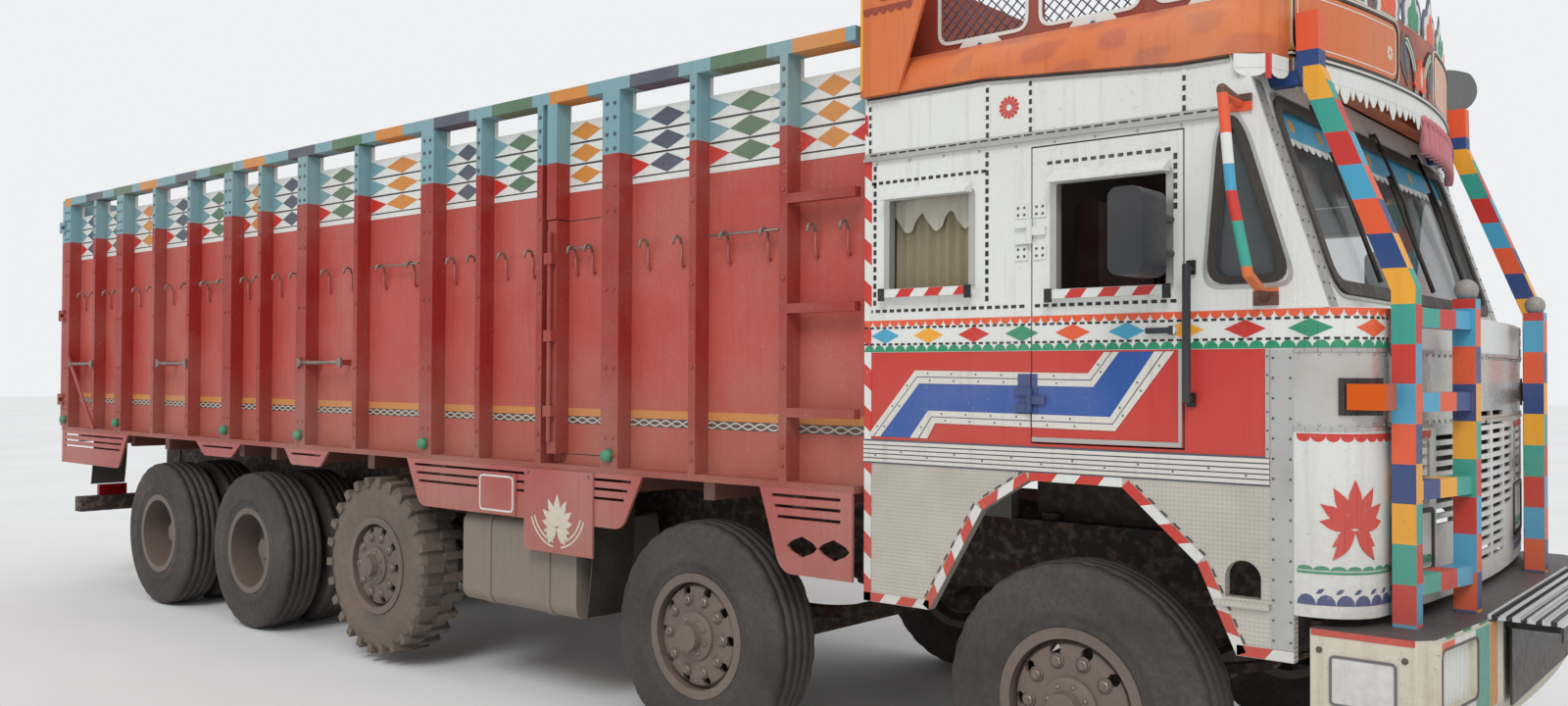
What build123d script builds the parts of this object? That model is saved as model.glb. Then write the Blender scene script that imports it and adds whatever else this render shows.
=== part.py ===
from build123d import *
import os

# A decorated five-axle haulage truck: a full-width cab with a painted crown and guard bars,
# and a high-sided steel load body on a ladder chassis. Sizes are in millimetres.
# +X is forward, +Y is the truck's left and +Z is up. Places along X are measured from the
# first axle while the pieces are drawn. save() moves every node by CENTRE_X, so that the
# origin ends at the middle of the whole truck, on the ground.
FRONT_REACH = 1450
REAR_REACH = 9250
CENTRE_X = (REAR_REACH - FRONT_REACH) / 2

# Running gear: axle places, tyres and tracks.
AXLE_1 = 0
AXLE_2 = -1877
AXLE_3 = -4513
AXLE_4 = -6047
AXLE_5 = -7417
TYRE_RADIUS = 520
TYRE_WIDTH = 278
BEAD_RADIUS = 256
LIFT_HEIGHT = 55
SINGLE_TRACK = 1096
DUAL_OUTER_TRACK = 1096
DUAL_INNER_TRACK = 772
KINGPIN_TRACK = 905
KINGPIN_RADIUS = 25
SPINDLE_RADIUS = 35
DRIVE_SPINDLE_RADIUS = 50
FIT = 0.3
GAP = 6

# Chassis: the two channel rails.
RAIL_TOP = 1080
RAIL_HEIGHT = 280
RAIL_OUT = 430
RAIL_FLANGE = 75
RAIL_WALL = 8
RAIL_FRONT = 840
RAIL_REAR = -(REAR_REACH - 300)

# Load body: floor, sills, walls and rails.
BODY_OUT = 1250
PANEL_OUT = 1160
PANEL_WALL = 30
BODY_REAR = -(REAR_REACH - 60)
BODY_FRONT = -950
SILL_BOTTOM = 1225
FLOOR_BOTTOM = 1255
FLOOR_TOP = 1300
RAIL_UNDER = 3080
TOP_RAIL = 60
OPEN_BAND = 90
SLAT_TOP = RAIL_UNDER - OPEN_BAND
BODY_TOP = RAIL_UNDER + TOP_RAIL
NARROW_POST = 45
WIDE_POST = 122
DOOR_WALL = 50

# Cab: side plane, walls and heights.
CAB_OUT = 1220
CAB_WALL = 40
CAB_REAR = -920
CAB_FRONT = 790
CAB_BOTTOM = 795
CAB_FLOOR_TOP = 1420
ROOF_TOP = 3000
EAVE_REAR_BOTTOM = ROOF_TOP - 165
EAVE_FRONT_BOTTOM = ROOF_TOP - 225
EAVE_SLOPE_X = (-360, 410)
DOOR_TOP = EAVE_FRONT_BOTTOM - 222
COWL_FRONT = 1085
COWL_TOP = 1930

nodes = {}


def put(name, *solids):
    """Adds solids to the node of that name."""
    nodes.setdefault(name, []).extend(solids)


def block(x, y, z):
    """A box given by its three ranges."""
    size = [high - low for low, high in (x, y, z)]
    middle = [(high + low) / 2 for low, high in (x, y, z)]
    return Pos(*middle) * Box(*size)


def mirrored(solid):
    """The same piece on the truck's other side."""
    return mirror(solid, about=Plane.XZ)


def side_sheet(outline, y, corners=None, radius=0):
    """A plate drawn in X and Z between two places across; listed corners are rounded."""
    face = make_face(Polyline(*[(x, y[0], z) for x, z in outline], close=True))
    if corners:
        places = [(outline[n][0], y[0], outline[n][1]) for n in corners]
        face = fillet([face.vertices().sort_by_distance(place)[0] for place in places], radius)
    return extrude(face, amount=y[1] - y[0], dir=(0, 1, 0))


def plan_sheet(edges, z):
    """A plate drawn in plan by its closed edges, between two heights."""
    return Pos(0, 0, z[0]) * extrude(make_face(edges), amount=z[1] - z[0], dir=(0, 0, 1))


def front_sheet(outline, x):
    """A plate drawn in Y and Z, between two places along the truck."""
    face = make_face(Polyline(*[(x[0], y, z) for y, z in outline], close=True))
    return extrude(face, amount=x[1] - x[0], dir=(1, 0, 0))


def turned(outline, x, z):
    """A solid turned about a line across the truck, from (radius, place across) points."""
    face = make_face(Polyline(*outline, close=True))
    return Pos(x, 0, z) * revolve(face, axis=Axis.Y)


def pin(start, end, radius):
    """A round bar between two points."""
    start, end = Vector(*start), Vector(*end)
    run = end - start
    return Solid.make_cylinder(radius, run.length, Plane(origin=start, z_dir=run))


def barrel_pin(x, y, z):
    """An upright hinge barrel between two heights."""
    return pin((x, y, z[0]), (x, y, z[1]), HINGE_RADIUS)


def hinge_parts(height):
    """The heights of a hinge's two fixed barrels and of the moving one between them."""
    third, half = HINGE_HEIGHT / 6, HINGE_HEIGHT / 2
    fixed = [(height - half, height - third - FIT), (height + third + FIT, height + half)]
    return fixed, (height - third, height + third)


def cross_bar(start, end, width, height):
    """A rectangular tube's outer form between two points at one height."""
    start, end = Vector(*start), Vector(*end)
    run = end - start
    plane = Plane(origin=start, x_dir=(0, 0, 1), z_dir=run)
    return extrude(plane * Rectangle(height, width), amount=run.length)


def bent_tube(points, radius):
    """A round tube's outer form through points, with ball corners."""
    tube = pin(points[0], points[1], radius)
    for start, end in zip(points[1:], points[2:]):
        tube += Pos(*start) * Sphere(radius)
        tube += pin(start, end, radius)
    return tube


def square_bar(points, size):
    """A square tube's outer form through points in one X-Z plane, with mitred bends."""
    runs = []
    for start, end in zip(points, points[1:]):
        start, end = Vector(*start), Vector(*end)
        run = end - start
        plane = Plane(origin=start, x_dir=(0, 1, 0), z_dir=run)
        runs.append(extrude(plane * Rectangle(size, size), amount=run.length))
    bar = runs[0]
    for point in points[1:-1]:
        bar += Pos(*point) * Rot(90, 0, 0) * Cylinder(size / 2, size)
    for run in runs[1:]:
        bar += run
    return bar


def save():
    """Writes one STEP file for each node."""
    os.makedirs("parts", exist_ok=True)
    for name, solids in nodes.items():
        whole = Compound(children=[Pos(CENTRE_X, 0, 0) * solid for solid in solids])
        export_step(whole, f"parts/{name}.step")


# Chassis: two channel rails and the cross members between them.
CROSS_MEMBERS = [x for x in (790, -760, -2500, -3900, -5100, -6732, -8100) if x > RAIL_REAR + 150]
CROSS_MEMBERS.append(RAIL_REAR + 50)
CROSS_LENGTH = 90
CROSS_BOTTOM = 860
CROSS_TOP = 1020


def chassis():
    low = RAIL_TOP - RAIL_HEIGHT
    web = block((RAIL_REAR, RAIL_FRONT), (RAIL_OUT - RAIL_WALL, RAIL_OUT), (low, RAIL_TOP))
    inner = (RAIL_OUT - RAIL_FLANGE, RAIL_OUT)
    foot = block((RAIL_REAR, RAIL_FRONT), inner, (low, low + RAIL_WALL))
    head = block((RAIL_REAR, RAIL_FRONT), inner, (RAIL_TOP - RAIL_WALL, RAIL_TOP))
    rail = web + foot + head
    put("chassis_rails", rail, mirrored(rail))
    across = (-RAIL_OUT + RAIL_WALL, RAIL_OUT - RAIL_WALL)
    for place in CROSS_MEMBERS:
        span = (place - CROSS_LENGTH / 2, place + CROSS_LENGTH / 2)
        put("cross_members", block(span, across, (CROSS_BOTTOM, CROSS_TOP)))


# Engine and gearbox: one plain block hung between the rails.
ENGINE_REAR = -620
ENGINE_FRONT = 720
ENGINE_HALF = RAIL_OUT - RAIL_FLANGE - 15
ENGINE_BOTTOM = 660
ENGINE_TOP = 1330
ENGINE_FOOT = 90


def engine_block():
    engine = block((ENGINE_REAR, ENGINE_FRONT), (-ENGINE_HALF, ENGINE_HALF), (ENGINE_BOTTOM, ENGINE_TOP))
    for place in (ENGINE_REAR + ENGINE_FOOT, ENGINE_FRONT - ENGINE_FOOT):
        across = (-RAIL_OUT + RAIL_FLANGE / 2, RAIL_OUT - RAIL_FLANGE / 2)
        engine += block((place - 40, place + 40), across, (RAIL_TOP, RAIL_TOP + 30))
    put("engine_block", engine)


# Tyres: a square-shouldered radial section, drawn as (radius, place across) points.
SHOULDER_DROP = 14
TREAD_HALF = 108
SIDEWALL_RADIUS = 400


def tyre(track, x, z):
    half = TYRE_WIDTH / 2
    bead = half - 22
    outline = [
        (BEAD_RADIUS, track - bead),
        (BEAD_RADIUS, track + bead),
        (SIDEWALL_RADIUS, track + half),
        (TYRE_RADIUS - 45, track + half - 10),
        (TYRE_RADIUS - SHOULDER_DROP, track + TREAD_HALF + 10),
        (TYRE_RADIUS, track + TREAD_HALF - 25),
        (TYRE_RADIUS, track - TREAD_HALF + 25),
        (TYRE_RADIUS - SHOULDER_DROP, track - TREAD_HALF - 10),
        (TYRE_RADIUS - 45, track - half + 10),
        (SIDEWALL_RADIUS, track - half),
    ]
    return turned(outline, x, z)


# The lift axle's tyres have deep cross lugs: their tips reach the tyre's radius.
LUG_COUNT = 26
LUG_DEPTH = 22
LUG_THICK = 44


def lug_tyre(track, x, z):
    half = TYRE_WIDTH / 2
    bead = half - 22
    carcass = TYRE_RADIUS - LUG_DEPTH
    outline = [
        (BEAD_RADIUS, track - bead),
        (BEAD_RADIUS, track + bead),
        (SIDEWALL_RADIUS, track + half - 6),
        (carcass - 20, track + half - 16),
        (carcass, track + TREAD_HALF - 10),
        (carcass, track - TREAD_HALF + 10),
        (carcass - 20, track - half + 16),
        (SIDEWALL_RADIUS, track - half + 6),
    ]
    body = turned(outline, 0, 0)
    lugs = []
    for number in range(LUG_COUNT):
        for side, stagger in ((1, 0), (-1, 0.5)):
            angle = 360 * (number + stagger) / LUG_COUNT
            low, high = sorted((track + side * 6, track + side * half))
            lug = block((-LUG_THICK / 2, LUG_THICK / 2), (low, high), (carcass - 34, TYRE_RADIUS))
            lugs.append(Rot(0, angle, 0) * lug)
    return Pos(x, 0, z) * body.fuse(*lugs)


# Rims. The flange stands outside the bead; the disc carries ten hand holes and the studs.
RIM_WALL = 12
FLANGE_RADIUS = 284
FLANGE_WALL = 12
HUB_RADIUS = 108
HAND_HOLES = 10
HAND_HOLE_PITCH = 205
HAND_HOLE_RADIUS = 24
STUDS = 10
STUD_PITCH = 167
STUD_RADIUS = 13
STUD_LENGTH = 26
NUT_FACE_RADIUS = STUD_PITCH + STUD_RADIUS + 6
DRUM_RADIUS = 205


def barrel(track):
    """The rim's barrel with both flanges, as turned points round the bead seat."""
    edge = TYRE_WIDTH / 2 - 22 + FLANGE_WALL
    inner = BEAD_RADIUS - RIM_WALL
    outline = [
        (inner, track - edge),
        (FLANGE_RADIUS, track - edge),
        (FLANGE_RADIUS, track - edge + FLANGE_WALL - 5),
        (BEAD_RADIUS - FIT, track - edge + FLANGE_WALL - 5),
        (BEAD_RADIUS - FIT, track + edge - FLANGE_WALL + 5),
        (FLANGE_RADIUS, track + edge - FLANGE_WALL + 5),
        (FLANGE_RADIUS, track + edge),
        (inner, track + edge),
    ]
    return turned(outline, 0, 0)


def polar(solid, count):
    """Copies of a piece round the wheel's own axis."""
    return [Rot(0, 360 * number / count, 0) * solid for number in range(count)]


def hand_holes(low, high):
    hole = Plane(origin=(0, low, HAND_HOLE_PITCH), z_dir=(0, 1, 0)) * RegularPolygon(HAND_HOLE_RADIUS, 8)
    return polar(extrude(hole, amount=high - low), HAND_HOLES)


def studs(low):
    stud = pin((0, low, STUD_PITCH), (0, low + STUD_LENGTH, STUD_PITCH), STUD_RADIUS)
    return polar(stud, STUDS)


def single_rim(x, z):
    """A front rim: the disc is dished outward and the hub stands out of it."""
    seat = SINGLE_TRACK + 104
    inner = BEAD_RADIUS - RIM_WALL
    disc = turned([
        (inner + 2, seat - 52),
        (inner + 2, seat - 34),
        (222, seat + 4),
        (NUT_FACE_RADIUS, seat + 14),
        (HUB_RADIUS - 10, seat + 14),
        (HUB_RADIUS - 10, seat),
        (130, seat),
        (214, seat - 10),
    ], 0, 0)
    disc = disc.cut(*hand_holes(seat - 60, seat + 40))
    hub = turned([
        (SPINDLE_RADIUS + FIT, SINGLE_TRACK - 96),
        (DRUM_RADIUS, SINGLE_TRACK - 96),
        (DRUM_RADIUS, SINGLE_TRACK + 34),
        (HUB_RADIUS, SINGLE_TRACK + 44),
        (HUB_RADIUS, seat + 26),
        (92, seat + 34),
        (66, seat + 44),
        (60, seat + 84),
        (0, seat + 88),
        (0, seat - 10),
        (SPINDLE_RADIUS + FIT, seat - 10),
    ], 0, 0)
    flange = turned([(90, seat - 14), (150, seat - 14), (150, seat + 2), (90, seat + 2)], 0, 0)
    return Pos(x, 0, z) * barrel(SINGLE_TRACK).fuse(disc, hub, flange, *studs(seat + 8))


def dual_rim(x, z):
    """A pair of rear rims on one hub: the outer dish is deep and the hub stands in it."""
    seat = (DUAL_OUTER_TRACK + DUAL_INNER_TRACK) / 2
    inner = BEAD_RADIUS - RIM_WALL
    edge = DUAL_OUTER_TRACK - TYRE_WIDTH / 2 + 10
    outer_disc = turned([
        (inner + 2, edge + 40),
        (inner + 2, edge + 58),
        (214, seat + 34),
        (130, seat + 16),
        (100, seat + 16),
        (100, seat),
        (130, seat),
        (218, seat + 20),
    ], 0, 0)
    outer_disc = outer_disc.cut(*hand_holes(seat - 4, seat + 70))
    inner_disc = turned([
        (inner + 2, 2 * seat - edge - 40),
        (inner + 2, 2 * seat - edge - 58),
        (214, seat - 34),
        (130, seat - 16),
        (100, seat - 16),
        (100, seat),
        (130, seat),
        (218, seat - 20),
    ], 0, 0)
    hub = turned([
        (DRIVE_SPINDLE_RADIUS + FIT, seat - 230),
        (DRUM_RADIUS, seat - 230),
        (DRUM_RADIUS, seat - 60),
        (HUB_RADIUS, seat - 50),
        (HUB_RADIUS, seat + 60),
        (98, seat + 150),
        (70, seat + 158),
        (66, seat + 188),
        (0, seat + 190),
        (0, seat + 130),
        (DRIVE_SPINDLE_RADIUS + FIT, seat + 130),
    ], 0, 0)
    whole = barrel(DUAL_OUTER_TRACK).fuse(
        barrel(DUAL_INNER_TRACK), outer_disc, inner_disc, hub, *studs(seat + 14))
    return Pos(x, 0, z) * whole


# Axle number, place, height above the ground line, single or dual.
SINGLE_AXLES = [(1, AXLE_1, 0), (2, AXLE_2, 0), (3, AXLE_3, LIFT_HEIGHT)]
DUAL_AXLES = [(4, AXLE_4), (5, AXLE_5)]


RIGHT_TURN = 180 / STUDS


def right_hand(solid, x, z):
    """A wheel's piece for the right side, turned half a stud pitch about its axle."""
    return Pos(x, 0, z) * Rot(0, RIGHT_TURN, 0) * Pos(-x, 0, -z) * mirrored(solid)


def wheels():
    for number, x, lift in SINGLE_AXLES:
        form = lug_tyre if number == 3 else tyre
        z = TYRE_RADIUS + lift
        left_tyre = form(SINGLE_TRACK, x, z)
        left_rim = single_rim(x, z)
        put(f"tyre_{number}_left", left_tyre)
        put(f"rim_{number}_left", left_rim)
        put(f"tyre_{number}_right", right_hand(left_tyre, x, z))
        put(f"rim_{number}_right", right_hand(left_rim, x, z))
    for number, x in DUAL_AXLES:
        left_tyres = [tyre(track, x, TYRE_RADIUS) for track in (DUAL_OUTER_TRACK, DUAL_INNER_TRACK)]
        left_rims = dual_rim(x, TYRE_RADIUS)
        put(f"tyre_{number}_left", *left_tyres)
        put(f"rim_{number}_left", left_rims)
        put(f"tyre_{number}_right", *[right_hand(one, x, TYRE_RADIUS) for one in left_tyres])
        put(f"rim_{number}_right", right_hand(left_rims, x, TYRE_RADIUS))


# Steered ends: a forked knuckle on its kingpin, with the spindle the hub turns on.
BOSS_RADIUS = 44
BOSS_HALF = 40
LUG_HEIGHT = 42
KNUCKLE_HALF = 52
PLATE_RADIUS = 190
BEAM_DROP = 70
BEAM_HALF_WIDTH = 30
BEAM_HEIGHT = 90
SPRING_PAD = RAIL_OUT


def knuckle(x):
    track = KINGPIN_TRACK
    z = TYRE_RADIUS
    reach = BOSS_HALF + LUG_HEIGHT
    body = block((x - KNUCKLE_HALF, x + KNUCKLE_HALF), (track - 40, track + 75), (z - reach, z + reach))
    body -= block((x - 90, x + 90), (track - 60, track + 50), (z - BOSS_HALF - FIT, z + BOSS_HALF + FIT))
    body += pin((x, track, z - reach - 12), (x, track, z + reach + 12), KINGPIN_RADIUS)
    spindle_end = SINGLE_TRACK + 104 - 10 - 1
    body += pin((x, track + 60, z), (x, spindle_end, z), SPINDLE_RADIUS)
    body += pin((x, track + 72, z), (x, track + 82, z), PLATE_RADIUS)
    body += block((x - 230, x - KNUCKLE_HALF + 5), (track - 30, track + 10), (z - reach, z - reach + 34))
    return body


def steered_beam(x):
    """A dropped forging with a boss at each end for the kingpins."""
    z = TYRE_RADIUS
    drop = z - BEAM_DROP
    half = BEAM_HEIGHT / 2
    outline = [
        (-KINGPIN_TRACK + 20, z - BOSS_HALF + 7), (-KINGPIN_TRACK + 20, z + BOSS_HALF - 7),
        (-700, z + BOSS_HALF - 7), (-620, drop + half), (620, drop + half),
        (700, z + BOSS_HALF - 7), (KINGPIN_TRACK - 20, z + BOSS_HALF - 7),
        (KINGPIN_TRACK - 20, z - BOSS_HALF + 7), (720, z - BOSS_HALF + 7),
        (600, drop - half), (-600, drop - half), (-720, z - BOSS_HALF + 7),
    ]
    beam = front_sheet(outline, (x - BEAM_HALF_WIDTH, x + BEAM_HALF_WIDTH))
    for side in (-1, 1):
        centre = side * KINGPIN_TRACK
        beam += pin((x, centre, z - BOSS_HALF), (x, centre, z + BOSS_HALF), BOSS_RADIUS)
        pad = (side * SPRING_PAD - 55, side * SPRING_PAD + 55)
        beam += block((x - 85, x + 85), pad, (drop + half - 10, drop + half + 12))
    for side in (-1, 1):
        centre = side * KINGPIN_TRACK
        beam -= pin((x, centre, z - 90), (x, centre, z + 90), KINGPIN_RADIUS + FIT)
    return beam


def front_ends():
    put("front_axle_beams", steered_beam(AXLE_1), steered_beam(AXLE_2))
    for number, x in ((1, AXLE_1), (2, AXLE_2)):
        left = knuckle(x)
        put(f"knuckle_{number}_left", left)
        put(f"knuckle_{number}_right", mirrored(left))


# The lift axle: a beam dropped under the shaft, with a spindle at each end.
LIFT_TUBE = 62
LIFT_DROP = 140


def lift_axle():
    z = TYRE_RADIUS + LIFT_HEIGHT
    end = SINGLE_TRACK - 96 - 12
    low = z - LIFT_DROP
    half = LIFT_TUBE - 12
    outline = [
        (-end, z - half), (-end, z + half), (-760, z + half), (-600, low + half), (600, low + half),
        (760, z + half), (end, z + half), (end, z - half), (740, z - half), (580, low - half),
        (-580, low - half), (-740, z - half),
    ]
    axle = front_sheet(outline, (AXLE_3 - half, AXLE_3 + half))
    spindle = SINGLE_TRACK + 104 - 11
    for side in (-1, 1):
        axle += pin((AXLE_3, side * (end - 20), z), (AXLE_3, side * spindle, z), SPINDLE_RADIUS)
        pad = (side * SPRING_PAD - 55, side * SPRING_PAD + 55)
        axle += block((AXLE_3 - 85, AXLE_3 + 85), pad, (low + half - 10, low + half + 12))
    put("rear_axles", axle)


# Drive axles: a banjo housing with a tube to each hub, and the shafts between them.
HOUSING_TUBE = 70
BANJO_RADIUS = 205
SHAFT_RADIUS = 55
NOSE_REACH = 260
SHAFT_END_GAP = 3


def drive_axles():
    z = TYRE_RADIUS
    seat = (DUAL_OUTER_TRACK + DUAL_INNER_TRACK) / 2
    for number, x in DUAL_AXLES:
        end = seat - 230 - 12
        housing = pin((x, -end, z), (x, end, z), HOUSING_TUBE)
        housing += pin((x, -seat - 129, z), (x, seat + 129, z), DRIVE_SPINDLE_RADIUS)
        housing += Pos(x, 0, z) * Rot(0, 90, 0) * Cylinder(BANJO_RADIUS, 190)
        housing += pin((x - 90, 0, z), (x + NOSE_REACH, 0, z), 95)
        for side in (-1, 1):
            pad = (side * SPRING_PAD - 50, side * SPRING_PAD + 50)
            housing += block((x - 95, x + 95), pad, (z + HOUSING_TUBE - 12, z + HOUSING_TUBE + 14))
        put("rear_axles", housing)
    front = (ENGINE_REAR - SHAFT_END_GAP, 0, 760)
    put("rear_axles", pin(front, (AXLE_4 + NOSE_REACH + SHAFT_END_GAP, 0, z), SHAFT_RADIUS))
    put("rear_axles", pin((AXLE_4 - 95 - FIT, 0, z), (AXLE_5 + NOSE_REACH + FIT, 0, z), SHAFT_RADIUS))


# Leaf springs. Each pack is drawn from the side: place, half length, foot height, arm height.
SPRING_HALF_WIDTH = 38
LEAVES = 3
LEAF_THICK = 18
STEERED_SPRING = 620
LIFT_SPRING = 480
DRIVE_SPRING = 560
SPRING_EYE = 640
DRIVE_SPRING_EYE = 690


def spring_pack(x, half, foot, eye):
    """Stacked leaves on the axle's pad, each shorter than the one above, and its two hangers."""
    rise = eye - foot
    near = SPRING_PAD - SPRING_HALF_WIDTH
    span = (near, near + 2 * SPRING_HALF_WIDTH)
    pack = None
    for leaf in range(LEAVES):
        share = 1 - 0.26 * (LEAVES - 1 - leaf)
        reach = half * share
        lift = rise * share ** 2
        base = foot + leaf * LEAF_THICK
        top = base + LEAF_THICK
        rear, front = x - reach, x + reach
        lower = ThreePointArc((rear, near, base + lift), (x, near, base), (front, near, base + lift))
        upper = ThreePointArc((front, near, top + lift), (x, near, top), (rear, near, top + lift))
        ends = [Line(lower @ 1, upper @ 0), Line(upper @ 1, lower @ 0)]
        face = make_face([lower, ends[0], upper, ends[1]])
        strip = extrude(face, amount=2 * SPRING_HALF_WIDTH, dir=(0, 1, 0))
        pack = strip if pack is None else pack + strip
    frame_low = RAIL_TOP - RAIL_HEIGHT
    for end in (x - half, x + half):
        pack += block((end - 22, end + 22), span, (eye + LEAF_THICK, frame_low))
    return pack


def leaf_springs():
    steered_foot = TYRE_RADIUS - BEAM_DROP + BEAM_HEIGHT / 2 + 12
    lift_foot = TYRE_RADIUS + LIFT_HEIGHT - LIFT_DROP + LIFT_TUBE - 12 + 12
    drive_foot = TYRE_RADIUS + HOUSING_TUBE + 14
    table = [
        (AXLE_1, STEERED_SPRING, steered_foot, SPRING_EYE),
        (AXLE_2, STEERED_SPRING, steered_foot, SPRING_EYE),
        (AXLE_3, LIFT_SPRING, lift_foot, SPRING_EYE),
        (AXLE_4, DRIVE_SPRING, drive_foot, DRIVE_SPRING_EYE),
        (AXLE_5, DRIVE_SPRING, drive_foot, DRIVE_SPRING_EYE),
    ]
    for x, half, foot, eye in table:
        pack = spring_pack(x, half, foot, eye)
        put("leaf_springs", pack, mirrored(pack))


# Tanks: the strapped fuel tank on the right, two air tanks on the left.
TANK_REAR = -3690
TANK_FRONT = -2740
TANK_OUT = 1190
TANK_IN = 620
TANK_BOTTOM = 470
TANK_TOP = 960
TANK_ROUND = 70
STRAP_WIDTH = 50
STRAP_WALL = 6
AIR_TANK_RADIUS = 130


def tanks():
    tank = block((TANK_REAR, TANK_FRONT), (-TANK_OUT, -TANK_IN), (TANK_BOTTOM, TANK_TOP))
    tank = fillet(tank.edges().filter_by(Axis.X), TANK_ROUND)
    length = TANK_FRONT - TANK_REAR
    for share in (0.24, 0.76):
        place = TANK_REAR + share * length
        span = (place - STRAP_WIDTH / 2, place + STRAP_WIDTH / 2)
        across = (-TANK_OUT - STRAP_WALL, -TANK_IN + STRAP_WALL)
        strap = block(span, across, (TANK_BOTTOM - STRAP_WALL, TANK_TOP + STRAP_WALL))
        tank += fillet(strap.edges().filter_by(Axis.X), TANK_ROUND + STRAP_WALL)
        tank += block(span, (-TANK_IN - 40, -RAIL_OUT), (TANK_TOP - 80, TANK_TOP - 20))
        tank += block(span, (-TANK_IN - 40, -RAIL_OUT), (TANK_BOTTOM + 360, TANK_BOTTOM + 390))
    tank += pin((TANK_FRONT - 120, -1010, TANK_TOP - 10), (TANK_FRONT - 120, -1010, TANK_TOP + 40), 55)
    put("tanks_and_battery", tank)
    for z in (TANK_BOTTOM + AIR_TANK_RADIUS + 30, TANK_TOP - AIR_TANK_RADIUS + 30):
        air = pin((TANK_REAR + 60, 800, z), (TANK_FRONT - 60, 800, z), AIR_TANK_RADIUS)
        for share in (0.25, 0.75):
            place = TANK_REAR + share * length
            low, high = max(z - 30, RAIL_TOP - RAIL_HEIGHT + 10), z + 60
            air += block((place - 20, place + 20), (RAIL_OUT, 760), (min(low, high - 40), high))
        put("tanks_and_battery", air)


# Battery box on the left, ahead of the air tanks.
def battery_box():
    box = block((-1180, -700), (RAIL_OUT, 1120), (760, 1060))
    put("tanks_and_battery", box)


# Load floor: plank deck and two runners on the rails, with cross bearers under the posts.
BEARER_BOTTOM = 1130
BEARER_HALF = 35
DECK_OUT = PANEL_OUT - PANEL_WALL
HEADBOARD_WALL = 40

# Side posts: rear edge, wide or narrow. A shorter body has fewer of them.
MIDDLE_POSTS = [
    (-8600, "narrow"), (-8160, "wide"), (-7520, "narrow"), (-6950, "narrow"),
    (-6400, "wide"), (-5920, "narrow"), (-5410, "wide"), (-4740, "narrow"), (-4040, "wide"),
    (-3520, "narrow"), (-3000, "narrow"), (-2498, "wide"), (-1902, "narrow"), (-1358, "narrow"),
]
SHORTEST_BAY = 200
POSTS = [(BODY_REAR, "wide")]
POSTS += [post for post in MIDDLE_POSTS if post[0] > BODY_REAR + WIDE_POST + SHORTEST_BAY]


def load_floor():
    deck = block((BODY_REAR, BODY_FRONT - HEADBOARD_WALL), (-DECK_OUT, DECK_OUT), (FLOOR_BOTTOM, FLOOR_TOP))
    runner = block((BODY_REAR, BODY_FRONT), (RAIL_OUT - 75, RAIL_OUT), (RAIL_TOP, BEARER_BOTTOM))
    put("load_floor", deck, runner, mirrored(runner))
    for rear_edge, kind in POSTS:
        middle = rear_edge + (WIDE_POST if kind == "wide" else NARROW_POST) / 2
        middle = max(middle, BODY_REAR + BEARER_HALF)
        span = (middle - BEARER_HALF, middle + BEARER_HALF)
        put("floor_bearers", block(span, (-DECK_OUT, DECK_OUT), (BEARER_BOTTOM, FLOOR_BOTTOM)))


# Side doors of the load body, hinged at their front edge beside the wide post.
SIDE_DOOR_REAR = -2920
SIDE_DOOR_FRONT = -2498
SIDE_DOOR_TOP = 2490
HINGE_RADIUS = 11
HINGE_HEIGHT = 90
SIDE_HINGES = [1520, 2290]
SIDE_AXIS_X = SIDE_DOOR_FRONT - 12
SIDE_AXIS_Y = PANEL_OUT + 12
CROSS_BARS = [1548, 1991, 2461]
SLAT_JOINTS = [SLAT_TOP - 328, SLAT_TOP - 220, SLAT_TOP - 110]
GROOVE = 10


def side_wall_left():
    inner = PANEL_OUT - PANEL_WALL
    wall = block((BODY_REAR, BODY_FRONT), (inner, PANEL_OUT), (SILL_BOTTOM, SLAT_TOP))
    for height in SLAT_JOINTS:
        groove = (height - GROOVE / 2, height + GROOVE / 2)
        wall -= block((BODY_REAR - 5, BODY_FRONT + 5), (PANEL_OUT - GROOVE, PANEL_OUT + 5), groove)
    wall += block((BODY_REAR, BODY_FRONT), (inner, BODY_OUT), (SILL_BOTTOM, FLOOR_BOTTOM))
    wall += block((BODY_REAR, BODY_FRONT), (PANEL_OUT - 20, BODY_OUT), (RAIL_UNDER, BODY_TOP))
    for rear_edge, kind in POSTS:
        width = WIDE_POST if kind == "wide" else NARROW_POST
        span = (rear_edge, rear_edge + width)
        wall += block(span, (PANEL_OUT - 20, BODY_OUT), (SILL_BOTTOM, BODY_TOP))
    span = (SIDE_DOOR_REAR, SIDE_DOOR_FRONT)
    wall += block((SIDE_DOOR_REAR, SIDE_DOOR_REAR + 75), (PANEL_OUT - 5, BODY_OUT), (SIDE_DOOR_TOP, BODY_TOP))
    wall -= block(span, (inner - 10, BODY_OUT + 10), (FLOOR_TOP, SIDE_DOOR_TOP))
    for height in CROSS_BARS:
        wall += block((POSTS[-1][0] + 10, BODY_FRONT), (BODY_OUT - 40, BODY_OUT), (height - 20, height + 20))
    for height in SIDE_HINGES:
        for z in hinge_parts(height)[0]:
            wall += barrel_pin(SIDE_AXIS_X, SIDE_AXIS_Y, z)
            wall += block((SIDE_AXIS_X, SIDE_DOOR_FRONT + 4), (SIDE_AXIS_Y - 4, SIDE_AXIS_Y + 4), z)
    return wall


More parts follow.
